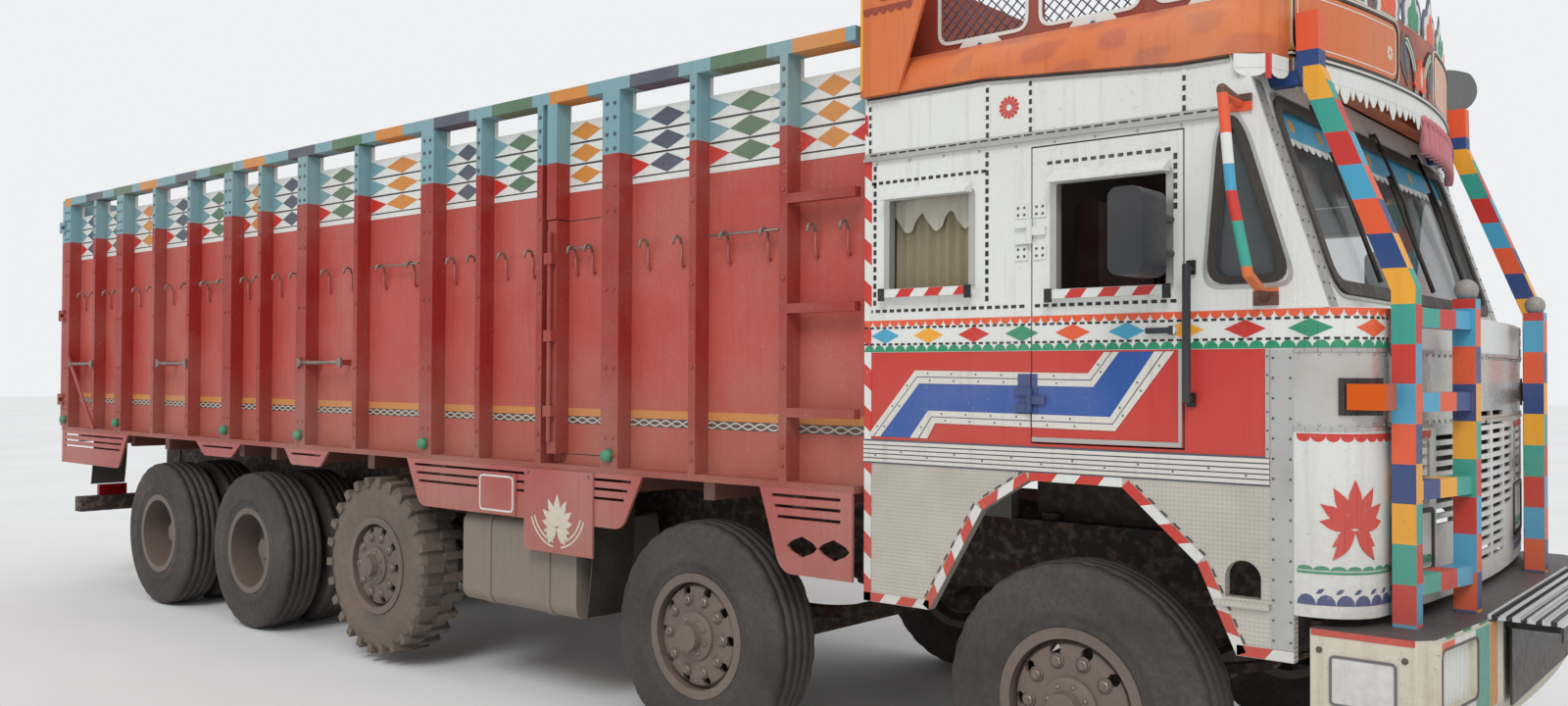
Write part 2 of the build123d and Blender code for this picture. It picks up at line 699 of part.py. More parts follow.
def side_door_left():
    inner = PANEL_OUT - PANEL_WALL
    span = (SIDE_DOOR_REAR + GAP, SIDE_DOOR_FRONT - 16)
    z = (FLOOR_TOP + GAP, SIDE_DOOR_TOP - GAP)
    door = block(span, (inner, PANEL_OUT), z)
    door += block((span[0], span[0] + 70), (PANEL_OUT - 5, BODY_OUT - 5), z)
    rod_x = span[0] + 35
    door += pin((rod_x, BODY_OUT + 12, z[0] + 60), (rod_x, BODY_OUT + 12, z[1] - 60), 12)
    for height in (1520, 1900, 2290):
        door += block((rod_x - 30, rod_x + 30), (BODY_OUT - 8, BODY_OUT + 26), (height - 28, height + 28))
    for height in SIDE_HINGES:
        part = hinge_parts(height)[1]
        door += barrel_pin(SIDE_AXIS_X, SIDE_AXIS_Y, part)
        door += block((SIDE_AXIS_X - 60, SIDE_AXIS_X), (PANEL_OUT - 2, SIDE_AXIS_Y + 4), part)
    return door


def side_walls():
    wall = side_wall_left().fuse(*rear_hinge_lugs())
    door = side_door_left()
    put("side_wall_left", wall)
    put("side_wall_right", mirrored(wall))
    put("side_door_left", door)
    put("side_door_right", mirrored(door))


# Headboard behind the cab.
def headboard():
    board = block((BODY_FRONT - HEADBOARD_WALL, BODY_FRONT), (-DECK_OUT, DECK_OUT), (FLOOR_BOTTOM, BODY_TOP))
    for y in (-800, -400, 0, 400, 800):
        board += block((BODY_FRONT - 5, BODY_FRONT + 20), (y - 25, y + 25), (FLOOR_TOP, BODY_TOP))
    put("headboard", board)


# Rear doors: two full-height leaves hinged at the rear corners.
REAR_AXIS_X = -REAR_REACH + DOOR_WALL / 2
REAR_AXIS_Y = BODY_OUT + 14
REAR_HINGES = [1480, 2170, BODY_TOP - 240]
REAR_DOOR_BOTTOM = FLOOR_BOTTOM + GAP
REAR_DOOR_TOP = BODY_TOP - 10
REAR_DOOR_OUT = BODY_OUT - 8
UNDERRUN_X = (RAIL_REAR - 130, RAIL_REAR - 10)
UNDERRUN_Z = (560, 680)


def rear_door_left():
    span = (-REAR_REACH, -REAR_REACH + DOOR_WALL)
    door = block(span, (3, REAR_DOOR_OUT), (REAR_DOOR_BOTTOM, REAR_DOOR_TOP))
    pocket = (-REAR_REACH - 5, -REAR_REACH + DOOR_WALL - 20)
    bays = [(REAR_DOOR_BOTTOM + 60, 1840), (1900, 2480), (2540, REAR_DOOR_TOP - 60)]
    for z in bays:
        for y in ((63, 600), (660, REAR_DOOR_OUT - 60)):
            door -= block(pocket, y, z)
    for height in REAR_HINGES:
        part = hinge_parts(height)[1]
        door += barrel_pin(REAR_AXIS_X, REAR_AXIS_Y, part)
        door += block((REAR_AXIS_X - 5, REAR_AXIS_X + 5), (REAR_DOOR_OUT - 5, REAR_AXIS_Y), part)
    door += pin((-REAR_REACH + 12, 30, REAR_DOOR_BOTTOM + 20), (-REAR_REACH + 12, 30, REAR_DOOR_TOP - 20), 11)
    return door


def rear_hinge_lugs():
    """The body's hinge knuckles at one rear corner."""
    lugs = []
    for height in REAR_HINGES:
        for z in hinge_parts(height)[0]:
            leaf = block((REAR_AXIS_X, BODY_REAR + 40), (REAR_AXIS_Y - 5, REAR_AXIS_Y + 5), z)
            seat = block((BODY_REAR, BODY_REAR + 40), (BODY_OUT - 2, REAR_AXIS_Y), z)
            lugs.append(barrel_pin(REAR_AXIS_X, REAR_AXIS_Y, z) + leaf + seat)
    return lugs


def rear_end():
    left = rear_door_left()
    put("rear_door_left", left)
    put("rear_door_right", mirrored(left))
    beam = block(UNDERRUN_X, (-1180, 1180), UNDERRUN_Z)
    for side in (-1, 1):
        low, high = sorted((side * RAIL_OUT, side * (RAIL_OUT + 12)))
        beam += block((UNDERRUN_X[0], RAIL_REAR + 120), (low, high), (UNDERRUN_Z[0], RAIL_TOP - 20))
    put("rear_underrun", beam)


# Valances under the sill: rear top, front top, bottom height, rear and front inset of the foot.
VALANCE_WALL = 14
VALANCE_ROUND = 90
VALANCES = [
    (BODY_REAR + 10, -7912, 965, 0, 160),
    (-6773, -6128, 1130, 130, 130),
    (-5540, -5004, 1125, 90, 100),
    (-4154, -2203, 965, 130, 140),
    (-1463, -960, 865, 120, 0),
]
SLOTS = [1105, 1150, 1195]
SLOT_HEIGHT = 14
SLOT_END = 60

# Pointed holes in the front piece: middle along X, height, half length, half height.
POINTED_HOLES = [(-1055, 985, 62, 45), (-1225, 985, 62, 45)]

# Plates hung on the right valance: range along X, range in height.
HUNG_PLATES = [((-3070, -2540), (810, 1225)), ((-3465, -3145), (970, 1190))]
HUNG_WALL = 12


def pointed_hole(x, z, half_length, half_height, y):
    """An eight-sided hole with points at its ends."""
    outline = [(x - half_length * 1.35, z), (x - half_length, z - half_height * 0.45), (x, z - half_height),
               (x + half_length, z - half_height * 0.45), (x + half_length * 1.35, z),
               (x + half_length, z + half_height * 0.45), (x, z + half_height),
               (x - half_length, z + half_height * 0.45)]
    return side_sheet(outline, y)


def valance_left():
    y = (BODY_OUT - VALANCE_WALL, BODY_OUT)
    through = (y[0] - 5, y[1] + 5)
    pieces = []
    for rear, front, bottom, rear_inset, front_inset in VALANCES:
        outline = [(rear, SILL_BOTTOM), (front, SILL_BOTTOM),
                   (front - front_inset, bottom), (rear + rear_inset, bottom)]
        corners = [n for n, inset in ((2, front_inset), (3, rear_inset)) if inset]
        reach = min(VALANCE_ROUND, (SILL_BOTTOM - bottom) * 0.4)
        piece = side_sheet(outline, y, corners, reach)
        for height in SLOTS:
            if height - SLOT_HEIGHT * 2 > bottom:
                share = (SILL_BOTTOM - height) / (SILL_BOTTOM - bottom)
                low = rear + rear_inset * share + SLOT_END
                high = front - front_inset * share - SLOT_END
                piece -= block((low, high), through, (height - SLOT_HEIGHT / 2, height + SLOT_HEIGHT / 2))
        pieces.append(piece)
    for hole in POINTED_HOLES:
        pieces[-1] -= pointed_hole(*hole, through)
    return pieces


def valances():
    pieces = valance_left()
    put("valance_left", *pieces)
    put("valance_right", *[mirrored(piece) for piece in pieces])
    for x, z in HUNG_PLATES:
        put("valance_right", block(x, (-BODY_OUT - HUNG_WALL, -BODY_OUT), z))


# Cab sides: one wall with door, window and quarter-light openings and the wheel arch.
DOOR_REAR = -157
DOOR_FRONT = 430
DOOR_BOTTOM = 1460
WINDOW_TOP = DOOR_TOP - 143
WINDOW = [(-55, 2020), (370, 2020), (370, WINDOW_TOP), (-55, WINDOW_TOP)]
REAR_WINDOW_X = (-800, -420)
REAR_WINDOW_Z = (2050, WINDOW_TOP)
ARCH = [(-603, CAB_BOTTOM), (-365, 1201), (-164, 1324), (203, 1321), (474, 1082), (606, CAB_BOTTOM)]
QUARTER_TOP = DOOR_TOP + 7
QUARTER = [(522, 2030), (767, 2030), (620, QUARTER_TOP - 40), (590, QUARTER_TOP), (563, QUARTER_TOP - 40)]
PILLAR_BASE_X = 888
PILLAR_TOP_X = 655
PILLAR_TOP = EAVE_FRONT_BOTTOM - 75
DOOR_AXIS_X = DOOR_REAR
DOOR_AXIS_Y = CAB_OUT + 14
CAB_HINGES = [1620, DOOR_TOP - 313]
SILL_REACH = 34
HOOD_REACH = 60
HOOD_HEIGHT = 46

# The small hole behind the corner strip, with its shelf.
PORT_X = (567, 686)
PORT_Z = (985, 1048)
SHELF_X = (535, 716)
SHELF_Z = (955, 975)

# Grab bar in front of the door.
GRAB_X = 455
GRAB_Y = CAB_OUT + 45
GRAB_Z = (1620, 2085)
GRAB_RADIUS = 14


def window_trim(x, z):
    """A sill under a window and a sloped hood over it, on the left wall."""
    sill = block((x[0] - 15, x[1] + 15), (CAB_OUT - 2, CAB_OUT + SILL_REACH), (z[0] - 32, z[0]))
    hood = [(CAB_OUT - 2, z[1] + HOOD_HEIGHT), (CAB_OUT - 2, z[1]), (CAB_OUT + HOOD_REACH, z[1] - 4),
            (CAB_OUT + HOOD_REACH, z[1] + 4)]
    return [sill, front_sheet(hood, (x[0] - 10, x[1] + 10))]


def cab_side_left():
    y = (CAB_OUT - CAB_WALL, CAB_OUT)
    outline = [(CAB_REAR, CAB_BOTTOM), *ARCH, (CAB_FRONT, CAB_BOTTOM), (CAB_FRONT, COWL_TOP),
               (PILLAR_BASE_X - 30, COWL_TOP), (PILLAR_TOP_X - 45, PILLAR_TOP),
               (PILLAR_TOP_X - 65, EAVE_FRONT_BOTTOM), (EAVE_SLOPE_X[1], EAVE_FRONT_BOTTOM),
               (EAVE_SLOPE_X[0], EAVE_REAR_BOTTOM), (CAB_REAR, EAVE_REAR_BOTTOM)]
    wall = side_sheet(outline, y)
    cut = (y[0] - 10, y[1] + 10)
    wall -= block((DOOR_REAR, DOOR_FRONT), cut, (DOOR_BOTTOM, DOOR_TOP))
    wall -= block(REAR_WINDOW_X, cut, REAR_WINDOW_Z)
    wall -= side_sheet(QUARTER, cut, [0, 1], 40)
    wall -= block(PORT_X, cut, PORT_Z)
    middle = (PORT_X[0] + PORT_X[1]) / 2
    wall -= pin((middle, cut[0], PORT_Z[1]), (middle, cut[1], PORT_Z[1]), (PORT_X[1] - PORT_X[0]) / 2)
    wall += block(SHELF_X, (CAB_OUT - 2, CAB_OUT + 18), SHELF_Z)
    for piece in window_trim(REAR_WINDOW_X, REAR_WINDOW_Z):
        wall += piece
    wall += pin((GRAB_X, GRAB_Y, GRAB_Z[0]), (GRAB_X, GRAB_Y, GRAB_Z[1]), GRAB_RADIUS)
    for height in (GRAB_Z[0] + 16, GRAB_Z[1] - 16):
        wall += pin((GRAB_X, CAB_OUT - 2, height), (GRAB_X, GRAB_Y, height), GRAB_RADIUS - 2)
    for height in CAB_HINGES:
        for z in hinge_parts(height)[0]:
            wall += barrel_pin(DOOR_AXIS_X, DOOR_AXIS_Y, z)
            wall += block((DOOR_AXIS_X - 60, DOOR_AXIS_X - 4), (CAB_OUT - 2, DOOR_AXIS_Y), z)
    return wall


# Cab doors, hinged at their rear edge, with the mirror on the window's front edge.
MIRROR_X = (285, 405)
MIRROR_Y = (1310, 1500)
MIRROR_Z = (WINDOW_TOP - 370, WINDOW_TOP - 80)
MIRROR_ROUND = 34
ARM_RADIUS = 12
HANDLE_X = (300, 392)
HANDLE_Z = 1865


def cab_door_left():
    y = (CAB_OUT - CAB_WALL, CAB_OUT)
    span = (DOOR_REAR + GAP, DOOR_FRONT - GAP)
    door = block(span, y, (DOOR_BOTTOM + GAP, DOOR_TOP - GAP))
    door -= side_sheet(WINDOW, (y[0] - 10, y[1] + 10))
    for height in CAB_HINGES:
        part = hinge_parts(height)[1]
        door += barrel_pin(DOOR_AXIS_X, DOOR_AXIS_Y, part)
        door += block((DOOR_AXIS_X + 4, DOOR_AXIS_X + 64), (CAB_OUT - 2, DOOR_AXIS_Y), part)
    for piece in window_trim((WINDOW[0][0], WINDOW[1][0]), (WINDOW[0][1], WINDOW[2][1])):
        door += piece
    door += pin((HANDLE_X[1], CAB_OUT - 2, HANDLE_Z), (HANDLE_X[1], CAB_OUT + 26, HANDLE_Z), 16)
    door += block(HANDLE_X, (CAB_OUT + 14, CAB_OUT + 26), (HANDLE_Z - 10, HANDLE_Z + 10))
    head = block(MIRROR_X, MIRROR_Y, MIRROR_Z)
    head = fillet(head.edges().filter_by(Axis.Y), MIRROR_ROUND)
    door += head
    arm_x = (WINDOW[1][0] + DOOR_FRONT - GAP) / 2 - ARM_RADIUS
    for share in (0.3, 0.7):
        arm_z = MIRROR_Z[0] + share * (MIRROR_Z[1] - MIRROR_Z[0])
        door += pin((arm_x, CAB_OUT - 2, arm_z), (arm_x, MIRROR_Y[0] + 20, arm_z), ARM_RADIUS)
    return door


def cab_shell():
    side = cab_side_left()
    put("cab_side_left", side)
    put("cab_side_right", mirrored(side))
    door = cab_door_left()
    put("cab_door_left", door)
    put("cab_door_right", mirrored(door))
    inside = CAB_OUT - CAB_WALL
    back = block((CAB_REAR, CAB_REAR + CAB_WALL), (-inside, inside), (CAB_FLOOR_TOP - 60, EAVE_REAR_BOTTOM))
    put("cab_back", back)
    front_x = CAB_FRONT
    floor = block((CAB_REAR + CAB_WALL, front_x), (-inside, inside), (CAB_FLOOR_TOP - 60, CAB_FLOOR_TOP))
    for side_sign in (-1, 1):
        low, high = sorted((side_sign * (RAIL_OUT - 60), side_sign * RAIL_OUT))
        for x in ((-860, -700), (740, 780)):
            floor += block(x, (low, high), (RAIL_TOP, CAB_FLOOR_TOP - 50))
    put("cab_floor", floor)


# Roof: a flat top with a rounded eave along each side, which dips towards the front.
EAVE_OUT = CAB_OUT + 20
EAVE_ROUND = 140
EAVE_LIP = 25
ROOF_LIP = 60
ROOF_CORNER = 150
HALF_TURN_SHARE = 0.5 ** 0.5


def roof_half(side):
    """The rounded eave's edges on one side, from the bottom to the flat top."""
    out = side * EAVE_OUT
    shoulder = EAVE_REAR_BOTTOM + EAVE_LIP
    centre_y = EAVE_OUT - EAVE_ROUND
    diagonal = EAVE_ROUND * HALF_TURN_SHARE
    return [
        Line((CAB_REAR, out, EAVE_FRONT_BOTTOM), (CAB_REAR, out, shoulder)),
        ThreePointArc((CAB_REAR, out, shoulder),
                      (CAB_REAR, side * (centre_y + diagonal), ROOF_TOP - EAVE_ROUND + diagonal),
                      (CAB_REAR, side * centre_y, ROOF_TOP)),
    ]


def cab_roof():
    front = PILLAR_TOP_X + ROOF_LIP
    flat = EAVE_OUT - EAVE_ROUND
    outer = [*roof_half(1), Line((CAB_REAR, flat, ROOF_TOP), (CAB_REAR, -flat, ROOF_TOP)), *roof_half(-1),
             Line((CAB_REAR, -EAVE_OUT, EAVE_FRONT_BOTTOM), (CAB_REAR, EAVE_OUT, EAVE_FRONT_BOTTOM))]
    roof = extrude(make_face(outer), amount=front - CAB_REAR, dir=(1, 0, 0))
    corner_cut = ROOF_CORNER * (1 - HALF_TURN_SHARE)
    corner = [
        Line((CAB_REAR, EAVE_OUT, 0), (front - ROOF_CORNER, EAVE_OUT, 0)),
        ThreePointArc((front - ROOF_CORNER, EAVE_OUT, 0),
                      (front - corner_cut, EAVE_OUT - corner_cut, 0),
                      (front, EAVE_OUT - ROOF_CORNER, 0)),
        Line((front, EAVE_OUT - ROOF_CORNER, 0), (front, -EAVE_OUT + ROOF_CORNER, 0)),
        ThreePointArc((front, -EAVE_OUT + ROOF_CORNER, 0),
                      (front - corner_cut, -EAVE_OUT + corner_cut, 0),
                      (front - ROOF_CORNER, -EAVE_OUT, 0)),
        Line((front - ROOF_CORNER, -EAVE_OUT, 0), (CAB_REAR, -EAVE_OUT, 0)),
        Line((CAB_REAR, -EAVE_OUT, 0), (CAB_REAR, EAVE_OUT, 0)),
    ]
    roof &= plan_sheet(corner, (0, ROOF_TOP + 100))
    dip = [(CAB_REAR - 10, EAVE_FRONT_BOTTOM - 10), (CAB_REAR - 10, EAVE_REAR_BOTTOM),
           (EAVE_SLOPE_X[0], EAVE_REAR_BOTTOM), (EAVE_SLOPE_X[1], EAVE_FRONT_BOTTOM),
           (EAVE_SLOPE_X[1], EAVE_FRONT_BOTTOM - 10)]
    roof -= side_sheet(dip, (-EAVE_OUT - 10, EAVE_OUT + 10))
    inside = CAB_OUT - 130
    inner_x = (CAB_REAR + CAB_WALL, front - 70)
    roof -= block(inner_x, (-inside, inside), (EAVE_FRONT_BOTTOM - 5, ROOF_TOP - 40))
    put("cab_roof", roof)


# Cowl: a curved front shell from corner to corner, open where the grille stands.
COWL_WALL = 40
COWL_BOTTOM = 950
CORNER_X = 1010
CORNER_Y = 1060
GRILLE_HALF = 640
GRILLE_Z = (985, 1600)
GRILLE_WALL = 12
SCREEN_HALF = 1080
SCREEN_Z = (2000, PILLAR_TOP - 60)
SCREEN_WALL = 40

# Lamp pockets and corner louvres in the cowl: ranges across, heights.
COWL_LAMP_Y = (655, 975)
COWL_LAMP_Z = (1070, 1255)
COWL_LAMP_DEEP = 26
LOUVRE_Y = (690, 965)
LOUVRES = [1300, 1336, 1372, 1408, 1444, 1480]
LOUVRE_HEIGHT = 15

# Grille slots: middle across, lowest and highest row.
SLOT_COLUMNS = [(-500, 1205, 1500), (-250, 1025, 1570), (0, 1025, 1570), (250, 1025, 1570), (500, 1205, 1500)]
SLOT_PITCH = 36
GRILLE_SLOT = (210, 18)


def cowl_plan(inset):
    """The cowl's plan outline, closed along its rear, at a set-back from the outer skin."""
    out = CAB_OUT - inset
    front = COWL_FRONT - inset
    corner_x, corner_y = CORNER_X - inset, CORNER_Y - inset * 0.5
    mid = (CAB_FRONT + 0.72 * (corner_x - CAB_FRONT), out - 0.28 * (out - corner_y))
    return [
        ThreePointArc((CAB_FRONT, out, 0), (*mid, 0), (corner_x, corner_y, 0)),
        ThreePointArc((corner_x, corner_y, 0), (front, 0, 0), (corner_x, -corner_y, 0)),
        ThreePointArc((corner_x, -corner_y, 0), (mid[0], -mid[1], 0), (CAB_FRONT, -out, 0)),
        Line((CAB_FRONT, -out, 0), (CAB_FRONT, out, 0)),
    ]


def cowl_slice(outer, inner, y, z):
    """The part of the cowl's skin between two set-backs, within ranges across and in height."""
    ring = plan_sheet(cowl_plan(outer), z)
    ring -= plan_sheet(cowl_plan(inner), (z[0] - 5, z[1] + 5))
    return ring & block((CAB_FRONT + 20, COWL_FRONT + 50), y, z)


def screen_slab():
    """The raked frame round the windscreen, before its opening is cut."""
    edge = [(PILLAR_BASE_X - 30, COWL_TOP), (PILLAR_TOP_X - 45, PILLAR_TOP),
            (PILLAR_TOP_X - 65, EAVE_FRONT_BOTTOM)]
    front = [(x + SCREEN_WALL, z) for x, z in edge]
    return side_sheet(edge + front[::-1], (-CAB_OUT + 5, CAB_OUT - 5))


def cab_front():
    shell = plan_sheet(cowl_plan(0), (COWL_BOTTOM, COWL_TOP))
    shell -= plan_sheet(cowl_plan(COWL_WALL), (COWL_BOTTOM - 5, COWL_TOP - COWL_WALL))
    shell -= block((900, 1200), (-GRILLE_HALF, GRILLE_HALF), GRILLE_Z)
    for side in (-1, 1):
        lamp_y = sorted(side * y for y in COWL_LAMP_Y)
        shell -= cowl_slice(-5, COWL_LAMP_DEEP, lamp_y, COWL_LAMP_Z)
        louvre_y = sorted(side * y for y in LOUVRE_Y)
        for height in LOUVRES:
            half = LOUVRE_HEIGHT / 2
            shell -= block((CAB_FRONT + 30, COWL_FRONT + 20), louvre_y, (height - half, height + half))
    frame = screen_slab()
    frame -= block((500, 1000), (-SCREEN_HALF, SCREEN_HALF), SCREEN_Z)
    put("cab_front", shell + frame)


def grille():
    """A thin curved plate in the cowl's opening, with columns of slots."""
    panel = cowl_slice(0, GRILLE_WALL, (-GRILLE_HALF, GRILLE_HALF), GRILLE_Z)
    width, height = GRILLE_SLOT
    slots = []
    for middle, lowest, highest in SLOT_COLUMNS:
        for row in range(int((highest - lowest) / SLOT_PITCH) + 1):
            z = lowest + row * SLOT_PITCH
            slots.append(block((950, 1150), (middle - width / 2, middle + width / 2), (z, z + height)))
    put("cab_front", panel.cut(*slots))


def cab_glass():
    rake = (PILLAR_TOP_X - PILLAR_BASE_X - 15) / (PILLAR_TOP - COWL_TOP)

    def face_x(z):
        return PILLAR_BASE_X - 30 + (z - COWL_TOP) * rake + 16

    outline = [(face_x(SCREEN_Z[0]), SCREEN_Z[0]), (face_x(SCREEN_Z[0]) + 8, SCREEN_Z[0]),
               (face_x(SCREEN_Z[1]) + 8, SCREEN_Z[1]), (face_x(SCREEN_Z[1]), SCREEN_Z[1])]
    put("cab_glass", side_sheet(outline, (-SCREEN_HALF, SCREEN_HALF)))
    middle = CAB_OUT - CAB_WALL / 2
    quarter = side_sheet(QUARTER, (middle - 3, middle + 3), [0, 1], 40)
    put("cab_glass", quarter, mirrored(quarter))


# Cab interior: two seats, a rear bench, the dashboard and the steering wheel.
SEAT_Y = 560
SEAT_HALF = 250
SEAT_ROUND = 30


def seats():
    for y in (-SEAT_Y, SEAT_Y):
        span = (y - SEAT_HALF, y + SEAT_HALF)
        cushion = block((-100, 380), span, (CAB_FLOOR_TOP + 300, CAB_FLOOR_TOP + 430))
        stand = block((-40, 320), (y - 180, y + 180), (CAB_FLOOR_TOP, CAB_FLOOR_TOP + 300))
        back = block((-190, -90), span, (CAB_FLOOR_TOP + 300, CAB_FLOOR_TOP + 980))
        cushion, back = [fillet(pad.edges().filter_by(Axis.Y), SEAT_ROUND) for pad in (cushion, back)]
        put("seats", cushion + stand + back)
    bench = block((CAB_REAR + CAB_WALL, -420), (-1100, 1100), (CAB_FLOOR_TOP, CAB_FLOOR_TOP + 420))
    put("seats", bench)


def dashboard():
    outline = [(CAB_FRONT - 10, CAB_FLOOR_TOP), (CAB_FRONT - 10, COWL_TOP - 10), (560, COWL_TOP - 30),
               (520, COWL_TOP - 160), (640, CAB_FLOOR_TOP + 120), (640, CAB_FLOOR_TOP)]
    put("dashboard", side_sheet(outline, (-1150, 1150)))
    centre = (430, -SEAT_Y, COWL_TOP + 60)
    wheel = Plane(origin=centre, z_dir=(-0.5, 0, 0.87)) * Torus(225, 14)
    column = pin((600, -SEAT_Y, COWL_TOP - 120), centre, 28)
    spoke = Plane(origin=centre, z_dir=(-0.5, 0, 0.87)) * Box(30, 440, 12)
    put("dashboard", wheel + spoke + column)


# Roof carrier and crown: side boards with windows, rear wings, front and rear boards.
CARRIER_OUT = 1060
CARRIER_TOP = ROOF_TOP + 400
CARRIER_WALL = 25
CARRIER_REAR = -850
CARRIER_FRONT = 600
CARRIER_WINDOWS = [(-661, -270), (-202, 190), (258, 520)]
CARRIER_WINDOW_Z = (ROOF_TOP + 50, ROOF_TOP + 280)
WING_WALL = 16


def roof_carrier():
    inner = CARRIER_OUT - CARRIER_WALL
    for side in (-1, 1):
        y = sorted((side * CARRIER_OUT, side * inner))
        outline = [(CARRIER_REAR - 10, ROOF_TOP), (CARRIER_FRONT, ROOF_TOP),
                   (CARRIER_FRONT + 60, CARRIER_TOP - 60), (CARRIER_REAR - 10, CARRIER_TOP)]
        board = side_sheet(outline, y)
        low, high = CARRIER_WINDOW_Z
        for rear, front in CARRIER_WINDOWS:
            hole = [(rear, low), (front, low), (front, high), (rear, high)]
            board -= side_sheet(hole, (y[0] - 5, y[1] + 5), [0, 1, 2, 3], 45)
        wing_y = sorted((side * EAVE_OUT, side * (EAVE_OUT + WING_WALL)))
        foot = EAVE_REAR_BOTTOM
        wing = side_sheet([(CAB_REAR, foot), (-735, foot), (-660, foot + 210), (-610, foot + 350),
                           (-600, CARRIER_TOP), (CAB_REAR, CARRIER_TOP)], wing_y)
        link_y = sorted((side * inner, side * (EAVE_OUT + 2)))
        link = block((CAB_REAR, CARRIER_REAR), link_y, (ROOF_TOP, CARRIER_TOP - 5))
        put("roof_carrier", board + wing + link)
    across = (-inner, inner)
    rear = block((CARRIER_REAR, CARRIER_REAR + CARRIER_WALL), across, (ROOF_TOP, CARRIER_TOP - 20))
    front = block((CARRIER_FRONT - CARRIER_WALL, CARRIER_FRONT), across, (ROOF_TOP, CARRIER_TOP - 80))
    put("roof_carrier", rear, front)


# Front visor: a curved board across the roof's front, hollow behind.
VISOR_REACH = 145
VISOR_HALF = 1040
VISOR_WALL = 22
VISOR_Z = (EAVE_FRONT_BOTTOM, EAVE_FRONT_BOTTOM + 275)


def visor_plan(inset):
    base = PILLAR_TOP_X + ROOF_LIP
    half = VISOR_HALF - inset * 3
    return [
        Line((base, -half, 0), (base, half, 0)),
        ThreePointArc((base, half, 0), (base + VISOR_REACH - inset, 0, 0), (base, -half, 0)),
    ]


def front_visor():
    board = plan_sheet(visor_plan(0), VISOR_Z)
    board -= plan_sheet(visor_plan(VISOR_WALL), (VISOR_Z[0] - 5, VISOR_Z[1] - VISOR_WALL))
    put("front_visor", board)


# Bumper: a wrapped box-section shell with a top plate, and a raised frame round each lamp.
BUMPER_TOP = 920
BUMPER_BOTTOM = 560
BUMPER_WALL = 60
BUMPER_SIDE = 1236
BUMPER_REAR = 845
BUMPER_NOSE = 1256
BUMPER_CORNER = (1195, 1180)
HEADLAMP_Y = (860, 1172)
HEADLAMP_Z = (700, 885)
HEADLAMP_SET = 8
HEADLAMP_DEEP = 40
LAMP_FRAME_Y = (575, 1180)
LAMP_FRAME_Z = (640, 912)
LAMP_FRAME_PROUD = 14


def bumper_plan(inset):
    side = BUMPER_SIDE - inset
    nose = BUMPER_NOSE - inset
    corner_x, corner_y = BUMPER_CORNER[0] - inset, BUMPER_CORNER[1] - inset
    rear = BUMPER_REAR if inset == 0 else BUMPER_REAR - 5
    knee = (corner_x - 50, side)
    return [
        Line((rear, -side, 0), (rear, side, 0)),
        Line((rear, side, 0), (*knee, 0)),
        Line((*knee, 0), (corner_x, corner_y, 0)),
        ThreePointArc((corner_x, corner_y, 0), (nose, 0, 0), (corner_x, -corner_y, 0)),
        Line((corner_x, -corner_y, 0), (knee[0], -knee[1], 0)),
        Line((knee[0], -knee[1], 0), (rear, -side, 0)),
    ]


def bumper_slice(outer, inner, y, z):
    """The part of the bumper's skin between two set-backs, on its front."""
    ring = plan_sheet(bumper_plan(outer), z)
    ring -= plan_sheet(bumper_plan(inner), (z[0] - 5, z[1] + 5))
    return ring & block((BUMPER_CORNER[0] - 70, FRONT_REACH), y, z)


def bumper():
    body = plan_sheet(bumper_plan(0), (BUMPER_BOTTOM, BUMPER_TOP))
    body -= plan_sheet(bumper_plan(BUMPER_WALL), (BUMPER_BOTTOM - 5, BUMPER_TOP - 10))
    for side in (-1, 1):
        arm_y = sorted((side * (RAIL_OUT - 60), side * RAIL_OUT))
        body += block((RAIL_FRONT, BUMPER_CORNER[0]), arm_y, (BUMPER_TOP - 110, BUMPER_TOP - 5))
        frame_y = sorted(side * y for y in LAMP_FRAME_Y)
        body += bumper_slice(-LAMP_FRAME_PROUD, 5, frame_y, LAMP_FRAME_Z)
        lamp_y = sorted(side * y for y in HEADLAMP_Y)
        body -= bumper_slice(-LAMP_FRAME_PROUD - 5, HEADLAMP_DEEP, lamp_y, HEADLAMP_Z)
    put("bumper", body)


# Fluted step in front of the bumper, on two arms, with a rubber apron under its front.
STEP_REAR = 1235
STEP_HALF = 700
STEP_TOP = 935
STEP_PLATE = 8
FLUTES = 6
ARM_Y = (430, 500)
APRON_HALF = 520
APRON_BOTTOM = 610


def front_step():
    plate_low = BUMPER_TOP
    step = block((STEP_REAR, FRONT_REACH), (-STEP_HALF, STEP_HALF), (plate_low, plate_low + STEP_PLATE))
    pitch = (FRONT_REACH - STEP_REAR) / FLUTES
    for number in range(FLUTES):
        start = STEP_REAR + number * pitch
        step += block((start, start + pitch * 0.55), (-STEP_HALF, STEP_HALF), (plate_low + 6, STEP_TOP))
    step += block((FRONT_REACH - 6, FRONT_REACH), (-STEP_HALF, STEP_HALF), (plate_low - 50, plate_low + 4))
    apron_x = BUMPER_NOSE + 8
    step += block((apron_x, apron_x + 8), (-APRON_HALF, APRON_HALF), (APRON_BOTTOM, plate_low + 4))
    for side in (-1, 1):
        arm_y = sorted(side * y for y in ARM_Y)
        arm = block((STEP_REAR - 10, FRONT_REACH - 40), arm_y, (plate_low - 55, plate_low + 4))
        step += arm - plan_sheet(bumper_plan(0), (BUMPER_BOTTOM, BUMPER_TOP))
    put("front_step", step)


